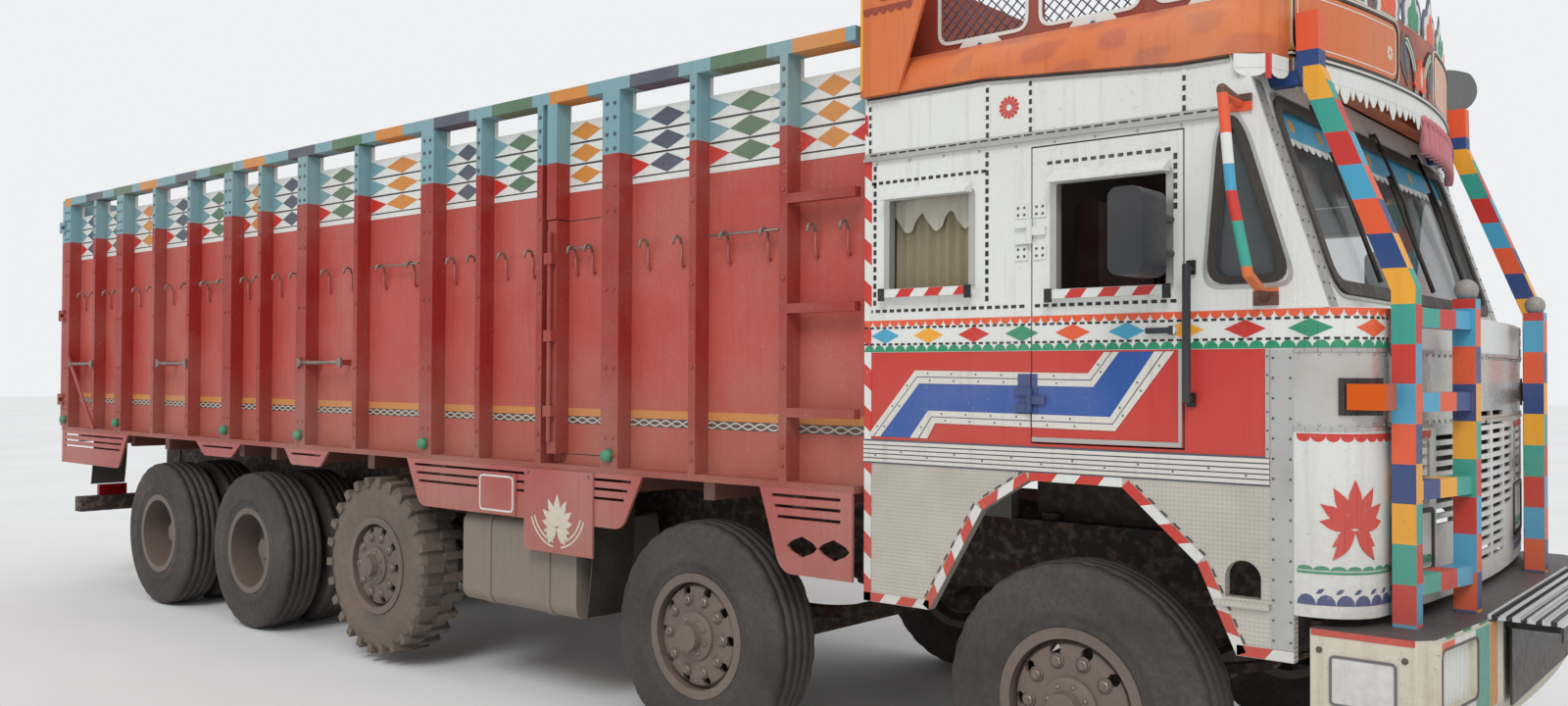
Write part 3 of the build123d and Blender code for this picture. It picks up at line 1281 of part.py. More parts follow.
# Guard bars: painted square tubes on the bumper, tall outer posts and short inner ones.
BAR = 72
GUARD_OUT = 1010
GUARD_IN = 585
GUARD_X = 1072
SHORT_X = 1152
GUARD_KNEE = 1990
GUARD_HEAD = EAVE_FRONT_BOTTOM - 35
GUARD_HEAD_X = 780
GUARD_TOP = GUARD_HEAD + 185
SHORT_TOP = 1975
BALL_RADIUS = 38
CROSS_HEIGHTS = [1050, 1350, 1630, 1900]
CROSS_BAR = 62
BRACKET_Z = (GUARD_HEAD - 52, GUARD_HEAD - 4)

# Mirror stay: a bent tube on the cab's front corner, with a foot plate at each end.
STAY_RADIUS = 17
STAY_POINTS = [(620, 1226, PILLAR_TOP - 90), (630, 1400, PILLAR_TOP - 75), (662, 1410, PILLAR_TOP - 400),
               (712, 1400, 2030), (705, 1226, 1968)]


def guard_bars():
    for side in (-1, 1):
        y = side * GUARD_OUT
        inner = side * GUARD_IN
        tall = square_bar([(GUARD_X, y, BUMPER_TOP), (GUARD_X, y, GUARD_KNEE), (GUARD_HEAD_X, y, GUARD_HEAD),
                           (GUARD_HEAD_X - 4, y, GUARD_TOP)], BAR)
        short = block((SHORT_X - BAR / 2, SHORT_X + BAR / 2), (inner - BAR / 2, inner + BAR / 2),
                      (BUMPER_TOP, SHORT_TOP))
        frame = tall + short + Pos(SHORT_X, inner, SHORT_TOP + 30) * Sphere(BALL_RADIUS)
        for height in CROSS_HEIGHTS:
            frame += cross_bar((GUARD_X, y, height), (SHORT_X, inner, height), CROSS_BAR, CROSS_BAR)
        bracket = block((PILLAR_TOP_X - 60, GUARD_HEAD_X), (y - 25, y + 25), BRACKET_Z)
        frame += bracket - screen_slab() - block((400, PILLAR_TOP_X - 10), (y - 30, y + 30), BRACKET_Z)
        put("guard_bars", frame)
    stay = bent_tube(STAY_POINTS, STAY_RADIUS)
    for x, y, z in (STAY_POINTS[0], STAY_POINTS[-1]):
        stay += block((x - 40, x + 40), (CAB_OUT, CAB_OUT + 10), (z - 28, z + 28))
    stay -= block((400, 900), (CAB_OUT - 100, CAB_OUT), (1900, PILLAR_TOP))
    put("guard_bars", stay, mirrored(stay))


# Lamps: headlamps in the bumper, cowl lamps, corner indicators, tail lamps.
def indicator():
    """The left corner indicator, cut to the cowl's curve."""
    lamp = block((945, 1060), (1080, 1195), (1606, 1688))
    return lamp - plan_sheet(cowl_plan(0), (COWL_BOTTOM, COWL_TOP))


def lamps():
    headlamp = bumper_slice(HEADLAMP_SET, HEADLAMP_DEEP, HEADLAMP_Y, HEADLAMP_Z)
    cowl_lamp = cowl_slice(10, COWL_LAMP_DEEP, COWL_LAMP_Y, COWL_LAMP_Z)
    tail = block((UNDERRUN_X[0], UNDERRUN_X[0] + 45), (790, 1010), (UNDERRUN_Z[1], UNDERRUN_Z[1] + 90))
    for lamp in (headlamp, cowl_lamp, indicator(), tail):
        put("lamps", lamp, mirrored(lamp))


def build():
    chassis()
    engine_block()
    wheels()
    front_ends()
    lift_axle()
    drive_axles()
    leaf_springs()
    tanks()
    battery_box()
    load_floor()
    side_walls()
    headboard()
    rear_end()
    valances()
    cab_shell()
    cab_roof()
    cab_front()
    grille()
    cab_glass()
    seats()
    dashboard()
    roof_carrier()
    front_visor()
    bumper()
    front_step()
    guard_bars()
    lamps()


build()
save()
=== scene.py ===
"""Dresses a decorated five-axle haulage truck: weathered paint, painted bands, fittings and wheels."""

import math
import random

import bmesh
import bpy
from bpy.props import FloatProperty, FloatVectorProperty, PointerProperty
from mathutils import Matrix, Vector


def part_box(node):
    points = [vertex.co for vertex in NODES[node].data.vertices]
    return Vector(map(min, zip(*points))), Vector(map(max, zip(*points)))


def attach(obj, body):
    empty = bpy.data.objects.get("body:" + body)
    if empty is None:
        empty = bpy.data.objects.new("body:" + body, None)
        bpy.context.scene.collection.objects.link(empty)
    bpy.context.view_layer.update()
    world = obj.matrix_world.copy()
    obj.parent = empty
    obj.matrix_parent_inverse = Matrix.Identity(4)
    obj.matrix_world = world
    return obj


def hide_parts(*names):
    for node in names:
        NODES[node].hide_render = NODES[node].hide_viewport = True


bl_info = {
    "name": "Decorated Haulage Truck",
    "version": (1, 0, 0),
    "blender": (4, 5, 0),
    "location": "3D View > Sidebar > Truck",
    "description": "Paints and fits out a decorated haulage truck, piece by piece",
    "category": "Object",
}

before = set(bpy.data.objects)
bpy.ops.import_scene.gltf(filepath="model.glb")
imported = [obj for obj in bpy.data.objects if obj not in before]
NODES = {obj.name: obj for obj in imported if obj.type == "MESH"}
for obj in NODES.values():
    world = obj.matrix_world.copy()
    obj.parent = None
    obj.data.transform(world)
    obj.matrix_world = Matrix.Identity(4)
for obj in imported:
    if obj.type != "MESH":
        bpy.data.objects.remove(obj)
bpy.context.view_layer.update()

# Places along X are drawn from the first axle, which stands this far ahead of the frame's origin.
AXLE = (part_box("tyre_1_left")[0].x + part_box("tyre_1_left")[1].x) / 2
SIDES = {"left": 1, "right": -1}


# Colours


def srgb(red, green, blue):
    """A colour read off a paint card in 0 to 255, as the linear values that shaders take."""
    return tuple(c / 12.92 if c <= 0.04045 else ((c + 0.055) / 1.055) ** 2.4
                 for c in (red / 255, green / 255, blue / 255))


def colour(name, description, card):
    """A colour that the user can change, from its paint card."""
    return FloatVectorProperty(name=name, description=description, subtype="COLOR", size=3,
                               min=0, max=1, default=srgb(*card))


def length(name, description, metres):
    """A length in metres that the user can change."""
    return FloatProperty(name=name, description=description, default=metres, min=0, unit="LENGTH")


class TruckColours(bpy.types.PropertyGroup):
    """The paints of the truck."""

    panel_red: colour("Panel Red", "Load body panels", (178, 70, 60))
    post_red: colour("Post Red", "Posts and door frames", (152, 38, 33))
    valance_red: colour("Valance Red", "Skirts under the load body", (172, 78, 76))
    rail_blue: colour("Rail Blue", "Top rails and the tops of the posts", (120, 160, 168))
    white: colour("White", "Cab and slats", (222, 224, 220))
    cream: colour("Cream", "Bumper", (214, 207, 190))
    signal_red: colour("Signal Red", "Cab panel and striped edges", (200, 48, 40))
    stripe_blue: colour("Stripe Blue", "Bent stripe on the cab", (32, 82, 158))
    orange: colour("Orange", "Eave and crown", (212, 112, 58))
    orange_red: colour("Orange Red", "Bands and diamonds", (226, 88, 46))
    amber: colour("Amber", "Bands and diamonds", (236, 166, 44))
    green: colour("Green", "Bands and diamonds", (28, 140, 100))
    teal: colour("Teal", "Bands on the bars", (52, 158, 142))
    sky: colour("Sky Blue", "Bands on the bars", (68, 160, 196))
    navy: colour("Navy", "Bands and scrolls", (34, 66, 124))
    ochre: colour("Ochre", "Slat diamonds and the body band", (206, 134, 58))
    slate: colour("Slate", "Slat diamonds", (78, 84, 100))
    moss: colour("Moss", "Slat diamonds", (84, 116, 88))
    black: colour("Black", "Lines and rubber", (28, 28, 30))
    dust: colour("Dust", "Road dust", (140, 122, 104))
    blush: colour("Blush", "Pale panel of the crown", (222, 168, 142))
    chocolate: colour("Chocolate", "Dark leaves of the crown", (92, 74, 68))
    crown_red: colour("Crown Red", "Roof carrier boards", (146, 62, 44))


class TruckSizes(bpy.types.PropertyGroup):
    """The sizes of what is laid on the truck."""

    paint_lift: length("Paint Lift", "How far a painted shape stands on its panel", 0.0015)
    belt_diamond: length("Belt Diamond", "Length of a diamond on the cab's belt", 0.205)
    edge_stripe: length("Edge Stripe", "Width of the striped edging", 0.034)
    dash_pitch: length("Dash Pitch", "Distance between the dashes of a trim strip", 0.034)
    bar_block: length("Bar Block", "Height of a painted block on the guard bars", 0.1264)
    hook_radius: length("Hook Radius", "Bar radius of a rope hook", 0.007)
    rivet_radius: length("Rivet Radius", "Radius of a rivet head", 0.006)


def paints():
    """The scene's paints."""
    return bpy.context.scene.truck_colours


def sizes():
    """The scene's sizes."""
    return bpy.context.scene.truck_sizes


# Materials


class Finish:
    """One material and the handful of nodes that its paint is mixed from."""

    def __init__(self, name):
        self.material = bpy.data.materials.new(name)
        self.material.use_nodes = True
        self.tree = self.material.node_tree
        self.shader = self.tree.nodes["Principled BSDF"]
        self.place = self.tree.nodes.new("ShaderNodeTexCoord").outputs["Object"]
        split = self.tree.nodes.new("ShaderNodeSeparateXYZ")
        self.link(self.place, split.inputs[0])
        self.x, self.y, self.z = split.outputs

    def link(self, value, socket):
        """Puts a socket's output, or a plain value, into another socket."""
        if isinstance(value, bpy.types.NodeSocket):
            self.tree.links.new(value, socket)
        elif socket.type == "RGBA":
            socket.default_value = (*value, 1) if len(value) == 3 else value
        else:
            socket.default_value = value

    def math(self, operation, a, b=0.5):
        node = self.tree.nodes.new("ShaderNodeMath")
        node.operation = operation
        self.link(a, node.inputs[0])
        self.link(b, node.inputs[1])
        return node.outputs[0]

    def times(self, a, b):
        return self.math("MULTIPLY", a, b)

    def plus(self, a, b):
        return self.math("ADD", a, b)

    def minus(self, a, b):
        return self.math("SUBTRACT", a, b)

    def above(self, value, limit):
        return self.math("GREATER_THAN", value, limit)

    def below(self, value, limit):
        return self.math("LESS_THAN", value, limit)

    def across(self):
        """The distance from the truck's middle."""
        return self.math("ABSOLUTE", self.y)

    def stretch(self, *shares):
        """The object's place, scaled along each axis."""
        node = self.tree.nodes.new("ShaderNodeMapping")
        self.link(self.place, node.inputs["Vector"])
        node.inputs["Scale"].default_value = shares
        return node.outputs[0]

    def noise(self, scale, detail=4, rough=0.55, place=None):
        node = self.tree.nodes.new("ShaderNodeTexNoise")
        self.link(place or self.place, node.inputs["Vector"])
        node.inputs["Scale"].default_value = scale
        node.inputs["Detail"].default_value = detail
        node.inputs["Roughness"].default_value = rough
        return node.outputs["Fac"]

    def cells(self, scale):
        node = self.tree.nodes.new("ShaderNodeTexVoronoi")
        self.link(self.place, node.inputs["Vector"])
        node.inputs["Scale"].default_value = scale
        return node.outputs["Distance"]

    def span(self, value, low, high, to_low=0.0, to_high=1.0):
        """A value mapped from one range to another, held at its ends."""
        node = self.tree.nodes.new("ShaderNodeMapRange")
        self.link(value, node.inputs["Value"])
        for name, number in (("From Min", low), ("From Max", high), ("To Min", to_low), ("To Max", to_high)):
            node.inputs[name].default_value = number
        return node.outputs[0]

    def patches(self, grain, *limits):
        """Noise of a scale and a detail, mapped as span maps it."""
        return self.span(self.noise(*grain), *limits)

    def mix(self, share, low, high, blend="MIX"):
        node = self.tree.nodes.new("ShaderNodeMix")
        node.data_type = "RGBA"
        node.blend_type = blend
        self.link(share, node.inputs["Factor"])
        self.link(low, node.inputs[6])
        self.link(high, node.inputs[7])
        return node.outputs[2]

    def between(self, value, low, high):
        """1 where the value lies in a range, else 0."""
        return self.times(self.above(value, low), self.below(value, high))

    def along(self, rear, front):
        """1 between two places measured from the first axle, else 0."""
        return self.between(self.x, rear + AXLE, front + AXLE)

    def choose(self, mask, low, high):
        """The first number where the mask is 0 and the second where it is 1."""
        return self.plus(self.times(mask, high), self.times(self.minus(1.0, mask), low))

    def steps(self, along, stops):
        """A ramp of flat colours, each from its place on."""
        ramp = self.tree.nodes.new("ShaderNodeValToRGB")
        ramp.color_ramp.interpolation = "CONSTANT"
        elements = ramp.color_ramp.elements
        for number, (place, tint) in enumerate(stops):
            stop = elements[number] if number < 2 else elements.new(place)
            stop.position = place
            stop.color = (*tint[:3], 1)
        self.link(along, ramp.inputs[0])
        return ramp.outputs[0]

    def wave(self, along, pitch):
        """A sine along one axis with that pitch."""
        return self.math("SINE", self.times(along, 2 * math.pi / pitch))

    def coat(self, tint, rough):
        """Puts a colour and a roughness on the shader."""
        self.link(tint, self.shader.inputs["Base Color"])
        self.link(rough, self.shader.inputs["Roughness"])

    def bump(self, height, strength, distance):
        node = self.tree.nodes.new("ShaderNodeBump")
        node.inputs["Strength"].default_value = strength
        node.inputs["Distance"].default_value = distance
        self.link(height, node.inputs["Height"])
        if self.shader.inputs["Normal"].is_linked:
            self.link(self.shader.inputs["Normal"].links[0].from_socket, node.inputs["Normal"])
        self.link(node.outputs[0], self.shader.inputs["Normal"])

    def plain(self, **values):
        """Sets the shader's own sockets to values that are the same all over."""
        for name, value in values.items():
            socket = self.shader.inputs[name.replace("_", " ")]
            self.link(value, socket)
        return self.material


def tint_of(finish, base):
    """A colour mixed by a function from the finish's nodes, one of the truck's paints, or a paint card's."""
    if callable(base):
        return base(finish)
    return getattr(paints(), base) if isinstance(base, str) else srgb(*base)


def weathered(name, base, grime=0.25, fade=0.18, chips=0.1, under=None, low=0.5, high=1.5, dents=0.25,
              rough=(0.42, 0.72), metal=None):
    """Road-worn paint, chipped down to the card under it, with dust that settles from high to low.

    metal is the range in height that is bare pressed sheet, its card and its pattern.
    """
    finish = Finish(name)
    tint = tint_of(finish, base)
    broad = finish.noise(1.3, 5)
    fine = finish.noise(38, 3)
    streaks = finish.noise(5, 4, 0.6, finish.stretch(6, 6, 0.35))
    pale = finish.mix(0.45, tint, srgb(214, 196, 182))
    tint = finish.mix(finish.span(broad, 0.42, 0.72, 0, fade), tint, pale)
    dark = finish.mix(1.0, tint, (0.42, 0.36, 0.33), "MULTIPLY")
    tint = finish.mix(finish.span(streaks, 0.52, 0.8, 0, grime), tint, dark)
    if under:
        speck = finish.patches((70, 5, 0.7), 0.63, 0.66)
        speck = finish.times(speck, finish.span(broad, 0.36, 0.62, 0.25, 1))
        tint = finish.mix(finish.times(speck, chips * 4), tint, srgb(*under))
    settled = finish.times(finish.span(finish.z, high, low), finish.span(fine, 0.3, 0.7, 0.55, 1))
    settled = finish.plus(finish.times(settled, 0.55), finish.span(broad, 0.5, 0.8, 0, 0.12))
    tint = finish.mix(finish.times(settled, 0.9), tint, paints().dust)
    gloss = finish.span(finish.plus(fine, settled), 0.4, 1.3, *rough)
    if metal:
        heights, sheet, emboss = metal
        bare = finish.between(finish.z, *heights)
        soiled = finish.mix(finish.patches((5, 5), 0.42, 0.7, 0.05, 0.4), srgb(*sheet), srgb(164, 154, 138))
        tint = finish.mix(bare, tint, soiled)
        gloss = finish.minus(gloss, finish.times(bare, 0.18))
        finish.link(finish.times(bare, 0.4), finish.shader.inputs["Metallic"])
        finish.bump(finish.times(emboss(finish), bare), 0.6, 0.002)
    finish.coat(tint, gloss)
    finish.bump(finish.noise(2.6, 2), dents, 0.012)
    finish.bump(finish.noise(160, 2), 0.12, 0.0012)
    return finish.material


def rusty(name, card, amount, metal, rough=0.75):
    """Bare or thinly painted running gear under rust, oil and dust."""
    finish = Finish(name)
    blotch = finish.noise(9, 6, 0.65)
    tint = finish.mix(finish.span(blotch, 0.4, 0.62, 0, amount), srgb(*card), srgb(104, 64, 42))
    tint = finish.mix(finish.patches((24, 4), 0.48, 0.7, 0, 0.6), tint, paints().dust)
    finish.coat(tint, finish.span(blotch, 0.3, 0.7, rough - 0.12, rough + 0.15))
    finish.bump(finish.noise(85, 5, 0.7), 0.35, 0.002)
    return finish.plain(Metallic=metal)


def bright_metal(name, card, rough):
    """Sheet aluminium."""
    finish = Finish(name)
    tint = finish.mix(finish.patches((4, 5), 0.45, 0.75, 0, 0.3), srgb(*card), srgb(128, 118, 104))
    finish.coat(tint, finish.patches((16, 4), 0.3, 0.7, *rough))
    finish.bump(finish.noise(3, 2), 0.2, 0.008)
    return finish.plain(Metallic=0.75)


def quilted(finish):
    """Crossed ribs pressed into a sheet."""
    return finish.times(*(finish.wave(way(finish.x, finish.z), 0.03) for way in (finish.plus, finish.minus)))


def rosettes(finish):
    """Round flowers pressed into chrome sheet."""
    return finish.cells(26)


def moulded(name, card, rough=(0.45, 0.65), grime=0.3, grain=220):
    """Plastic or rubber with a fine grain and settled dust."""
    finish = Finish(name)
    settled = finish.patches((2.5, 3), 0.3, 0.75, 0.25, 1)
    settled = finish.times(settled, finish.patches((60, 3), 0.3, 0.7, 0.5, 1))
    tint = finish.mix(finish.times(settled, grime), srgb(*card), paints().dust)
    finish.coat(tint, finish.patches((22, 3), 0.3, 0.7, *rough))
    finish.bump(finish.noise(grain, 3), 0.2, 0.0012)
    return finish.material


def lens(name, base, ribs=0.012):
    """A moulded lamp lens with upright ribs inside, with painted highlights in stripes along the ribs."""
    finish = Finish(name)
    tint = tint_of(finish, base)
    # Painted highlight: the lens colour is made brighter in stripes that follow the ribs.
    rib_glint = finish.mix(1.0, tint, (1.5, 1.4, 1.3), "MULTIPLY")
    tint = finish.mix(finish.span(finish.wave(finish.y, ribs), -0.4, 0.9, 0, 0.5), tint, rib_glint)
    tint = finish.mix(finish.patches((9, 4), 0.5, 0.8, 0, 0.05), tint, paints().dust)
    finish.coat(tint, finish.patches((30, 3), 0.3, 0.7, 0.08, 0.25))
    finish.bump(finish.wave(finish.y, ribs), 0.3, 0.002)
    return finish.plain(Specular_IOR_Level=0.25)


def window_glass(name, card, alpha):
    """Tinted glass with dust in patches."""
    finish = Finish(name)
    tint = finish.mix(finish.patches((6, 5), 0.45, 0.8, 0, 0.5), srgb(*card), paints().dust)
    finish.coat(tint, finish.patches((14, 4), 0.3, 0.7, 0.03, 0.14))
    return finish.plain(Alpha=alpha, Specular_IOR_Level=0.7)


def cloth(name, card, pitch=0.004):
    """Woven cloth, with its threads, a little fading and sheen."""
    finish = Finish(name)
    weave = finish.times(finish.wave(finish.x, pitch), finish.wave(finish.z, pitch))
    tint = finish.mix(finish.patches((6, 4), 0.4, 0.7, 0, 0.35), srgb(*card), paints().dust)
    tint = finish.mix(finish.span(weave, -1, 1, 0, 0.2), tint, (0.03, 0.03, 0.03))
    finish.coat(tint, finish.patches((40, 3), 0.3, 0.7, 0.75, 0.95))
    finish.bump(weave, 0.4, 0.001)
    return finish.plain(Sheen_Weight=0.3, Sheen_Roughness=0.5)


# Painted and sheet-metal finishes of the carried-over nodes. Heights are from the ground.

SLAT_BOTTOM = 2.662
RAIL_FROM = 3.075
POST_TURNS_BLUE = 2.775
PANEL_FACE = 1.162
BAND_Z = (1.497, 1.535)
WAVE_Z = 1.476
WAVE_HALF, WAVE_PITCH, WAVE_RISE, WAVE_LINE = 0.02, 0.15, 0.013, 0.0035
# Blocks along the rail: where the row starts, its pitch, and each block as shares of the pitch.
RAIL_START, RAIL_PITCH = -1.003, 1.613
RAIL_BLOCKS = ((0.192, 0.397, "slate"), (0.523, 0.733, "moss"), (0.823, 1.0, "ochre"))


def body_tint(finish):
    """Load body: red panels and posts, white slats, blue rail and post heads, and the painted bands."""
    p = paints()
    tint = finish.mix(finish.patches((0.9, 3), 0.35, 0.7, 0, 0.35), p.panel_red, srgb(196, 96, 84))
    tint = finish.mix(finish.between(finish.z, *BAND_Z), tint, p.ochre)
    wave = finish.times(finish.wave(finish.x, WAVE_PITCH), WAVE_RISE)
    height = finish.minus(finish.z, WAVE_Z)
    over, under = (finish.math("ABSOLUTE", way(height, wave)) for way in (finish.minus, finish.plus))
    ground = finish.between(finish.z, WAVE_Z - WAVE_HALF, WAVE_Z + WAVE_HALF)
    tint = finish.mix(ground, tint, srgb(60, 44, 44))
    tint = finish.mix(finish.below(finish.math("MINIMUM", over, under), WAVE_LINE), tint, srgb(206, 200, 190))
    tint = finish.mix(finish.above(finish.z, SLAT_BOTTOM), tint, p.white)
    post = finish.mix(finish.above(finish.z, POST_TURNS_BLUE), p.post_red, p.rail_blue)
    tint = finish.mix(finish.above(finish.across(), PANEL_FACE), tint, post)
    place = finish.math("DIVIDE", finish.minus(finish.x, AXLE + RAIL_START), RAIL_PITCH)
    place = finish.math("FRACT", place)
    rail = p.rail_blue
    for low, high, key in RAIL_BLOCKS:
        rail = finish.mix(finish.between(place, low, high), rail, getattr(p, key))
    return finish.mix(finish.above(finish.z, RAIL_FROM), tint, rail)


def door_tint(finish):
    """Rear leaves: red frames and panels with blue heads."""
    p = paints()
    tint = finish.mix(finish.patches((1.2, 3), 0.35, 0.7, 0, 0.4), p.post_red, p.panel_red)
    return finish.mix(finish.above(finish.z, POST_TURNS_BLUE), tint, p.rail_blue)


ALU_TOP = 1.445
PANEL_TOP = 1.80
PANEL_FRONT = 0.71
# What stands out across from the truck's middle: the wall's inside, its fittings and the mirror.
LINING_OUT, FITTINGS_OUT, MIRROR_OUT = 1.215, 1.223, 1.285
GRAB_X = (0.436, 0.474)
ARMS_FROM, ARMS_Z = 0.36, (2.05, 2.32)
HANDLE_X, HANDLE_Z = (0.28, 0.40), (1.83, 1.90)
STRAP_X, STRAP_Z = (-0.22, -0.09), (1.55, 1.73)


def cab_tint(finish):
    """Cab: white above the belt, a red panel below it and bare sheet at the bottom."""
    p = paints()
    tint = finish.mix(finish.below(finish.z, PANEL_TOP), p.white, p.signal_red)
    tint = finish.mix(finish.above(finish.x, PANEL_FRONT + AXLE), tint, p.white)
    across = finish.across()
    tint = finish.mix(finish.below(across, LINING_OUT), tint, srgb(150, 152, 146))
    proud = finish.above(across, FITTINGS_OUT)
    arms = finish.times(finish.between(finish.z, *ARMS_Z), finish.above(finish.x, ARMS_FROM + AXLE))
    handle = finish.times(finish.along(*HANDLE_X), finish.between(finish.z, *HANDLE_Z))
    fittings = finish.math("MAXIMUM", finish.math("MAXIMUM", finish.along(*GRAB_X), handle), arms)
    dark = finish.math("MAXIMUM", finish.above(across, MIRROR_OUT), finish.times(fittings, proud))
    tint = finish.mix(dark, tint, srgb(40, 43, 50))
    strap = finish.times(finish.between(finish.z, *STRAP_Z), finish.along(*STRAP_X))
    return finish.mix(finish.times(strap, proud), tint, p.navy)


CHROME_Z = (1.545, 1.795)
SHEET_Z = (0.0, ALU_TOP)


def eave_tint(finish):
    """Orange crown with darker painted swirls."""
    warp = finish.plus(finish.times(finish.x, 5.2), finish.times(finish.noise(3, 2), 2.2))
    swirl = finish.times(finish.math("SINE", finish.times(warp, 4.0)), finish.wave(finish.z, 0.19))
    tint = finish.mix(finish.span(swirl, 0.1, 0.5, 0, 0.55), paints().orange, srgb(172, 84, 62))
    return finish.mix(finish.patches((2.2, 3), 0.5, 0.7, 0, 0.4), tint, srgb(222, 146, 96))


BLOCK_KEYS = ("amber", "teal", "signal_red", "sky", "orange_red", "navy")
BEND_Z = 1.942
KNEE_Z = 2.742
SLOPE_BLOCK = 0.1143
KNEE_BLOCK = 0.055
CROSS_BLOCK = 0.117
# The short inner posts stand within this of the middle, and the cross bars reach between these.
INNER_POSTS, CROSS_Y = 0.70, (0.6215, 0.9735)
BRACKET_Z, BRACKET_FRONT = (2.680, 2.745), 0.765
STAY_OUT, STAY_Z = 1.19, (1.94, 2.65)


def bar_tint(finish):
    """Painted blocks down the square bars and along the cross bars, steel balls and the striped stay."""
    p = paints()
    across = finish.across()
    slope, upright, head = (finish.math("DIVIDE", finish.minus(top, finish.z), block) for top, block in
                            ((KNEE_Z, SLOPE_BLOCK), (BEND_Z, sizes().bar_block), (KNEE_Z, KNEE_BLOCK)))
    upright = finish.plus(upright, (KNEE_Z - BEND_Z) / SLOPE_BLOCK)
    head = finish.math("MAXIMUM", head, -1.99)
    count = finish.choose(finish.above(finish.z, KNEE_Z - 0.018), slope, head)
    count = finish.choose(finish.below(finish.z, BEND_Z), count, upright)
    normal = finish.tree.nodes.new("ShaderNodeSeparateXYZ")
    finish.link(finish.tree.nodes["Texture Coordinate"].outputs["Normal"], normal.inputs[0])
    facing = finish.below(finish.math("ABSOLUTE", normal.outputs[1]), 0.6)
    count = finish.plus(count, finish.times(facing, finish.below(finish.z, KNEE_Z - 0.05)))
    inner = finish.below(across, INNER_POSTS)
    count = finish.plus(count, finish.times(inner, 2.0))
    level = finish.math("FLOOR", finish.math("DIVIDE", finish.minus(finish.z, 1.0), 0.29))
    cross = finish.math("DIVIDE", finish.minus(0.973, across), CROSS_BLOCK)
    cross = finish.plus(cross, finish.plus(finish.times(level, 4.0), 1.0))
    crossing = finish.times(finish.between(across, *CROSS_Y), finish.below(finish.z, 1.95))
    count = finish.plus(finish.choose(crossing, count, cross), 12.0)
    share = finish.math("FRACT", finish.math("DIVIDE", count, float(len(BLOCK_KEYS))))
    tint = finish.steps(share, [(n / len(BLOCK_KEYS), getattr(p, key)) for n, key in enumerate(BLOCK_KEYS)])
    bracket = finish.times(finish.between(finish.z, *BRACKET_Z), finish.below(finish.x, BRACKET_FRONT + AXLE))
    tint = finish.mix(bracket, tint, p.navy)
    ball = finish.times(inner, finish.above(finish.z, 1.976))
    tint = finish.mix(ball, tint, srgb(150, 146, 140))
    rust = srgb(96, 62, 46)
    stay = finish.steps(finish.span(finish.z, *STAY_Z), (
        (0.0, rust), (0.06, p.orange), (0.16, p.teal), (0.36, p.signal_red), (0.50, p.sky), (0.62, p.white),
        (0.76, p.orange_red), (0.945, rust)))
    return finish.mix(finish.above(across, STAY_OUT), tint, stay)


def lamp_tint(finish):
    """Clear lenses in front, orange corner lamps and red tail lamps."""
    tint = finish.mix(finish.below(finish.x, 0.0), srgb(206, 210, 208), srgb(150, 22, 18))
    return finish.mix(finish.between(finish.z, 1.58, 1.72), tint, srgb(196, 82, 6))


def carrier_tint(finish):
    """Dark red boards between orange wings."""
    return finish.mix(finish.above(finish.across(), 1.2), paints().crown_red, paints().orange)


def bumper_tint(finish):
    """Cream faces under a dark rubbed top."""
    return finish.mix(finish.above(finish.z, 0.9185), paints().cream, srgb(62, 62, 68))


def step_tint(finish):
    """Bright tread bars with painted shade in the gaps between them, over black cheeks."""
    bars = finish.above(finish.wave(finish.x, 0.042), -0.2)
    # The near-black stripes between the bars are painted shade standing in for the open gaps of the tread.
    tread = finish.mix(bars, srgb(40, 42, 46), srgb(198, 200, 202))
    return finish.mix(finish.above(finish.z, 0.918), srgb(24, 24, 26), tread)


def visor_tint(finish):
    """Dark red middle and ochre ends under worn orange."""
    tint = finish.mix(finish.above(finish.across(), 0.72), paints().crown_red, srgb(214, 140, 60))
    return finish.mix(finish.patches((5, 4), 0.45, 0.7, 0, 0.4), tint, paints().orange)


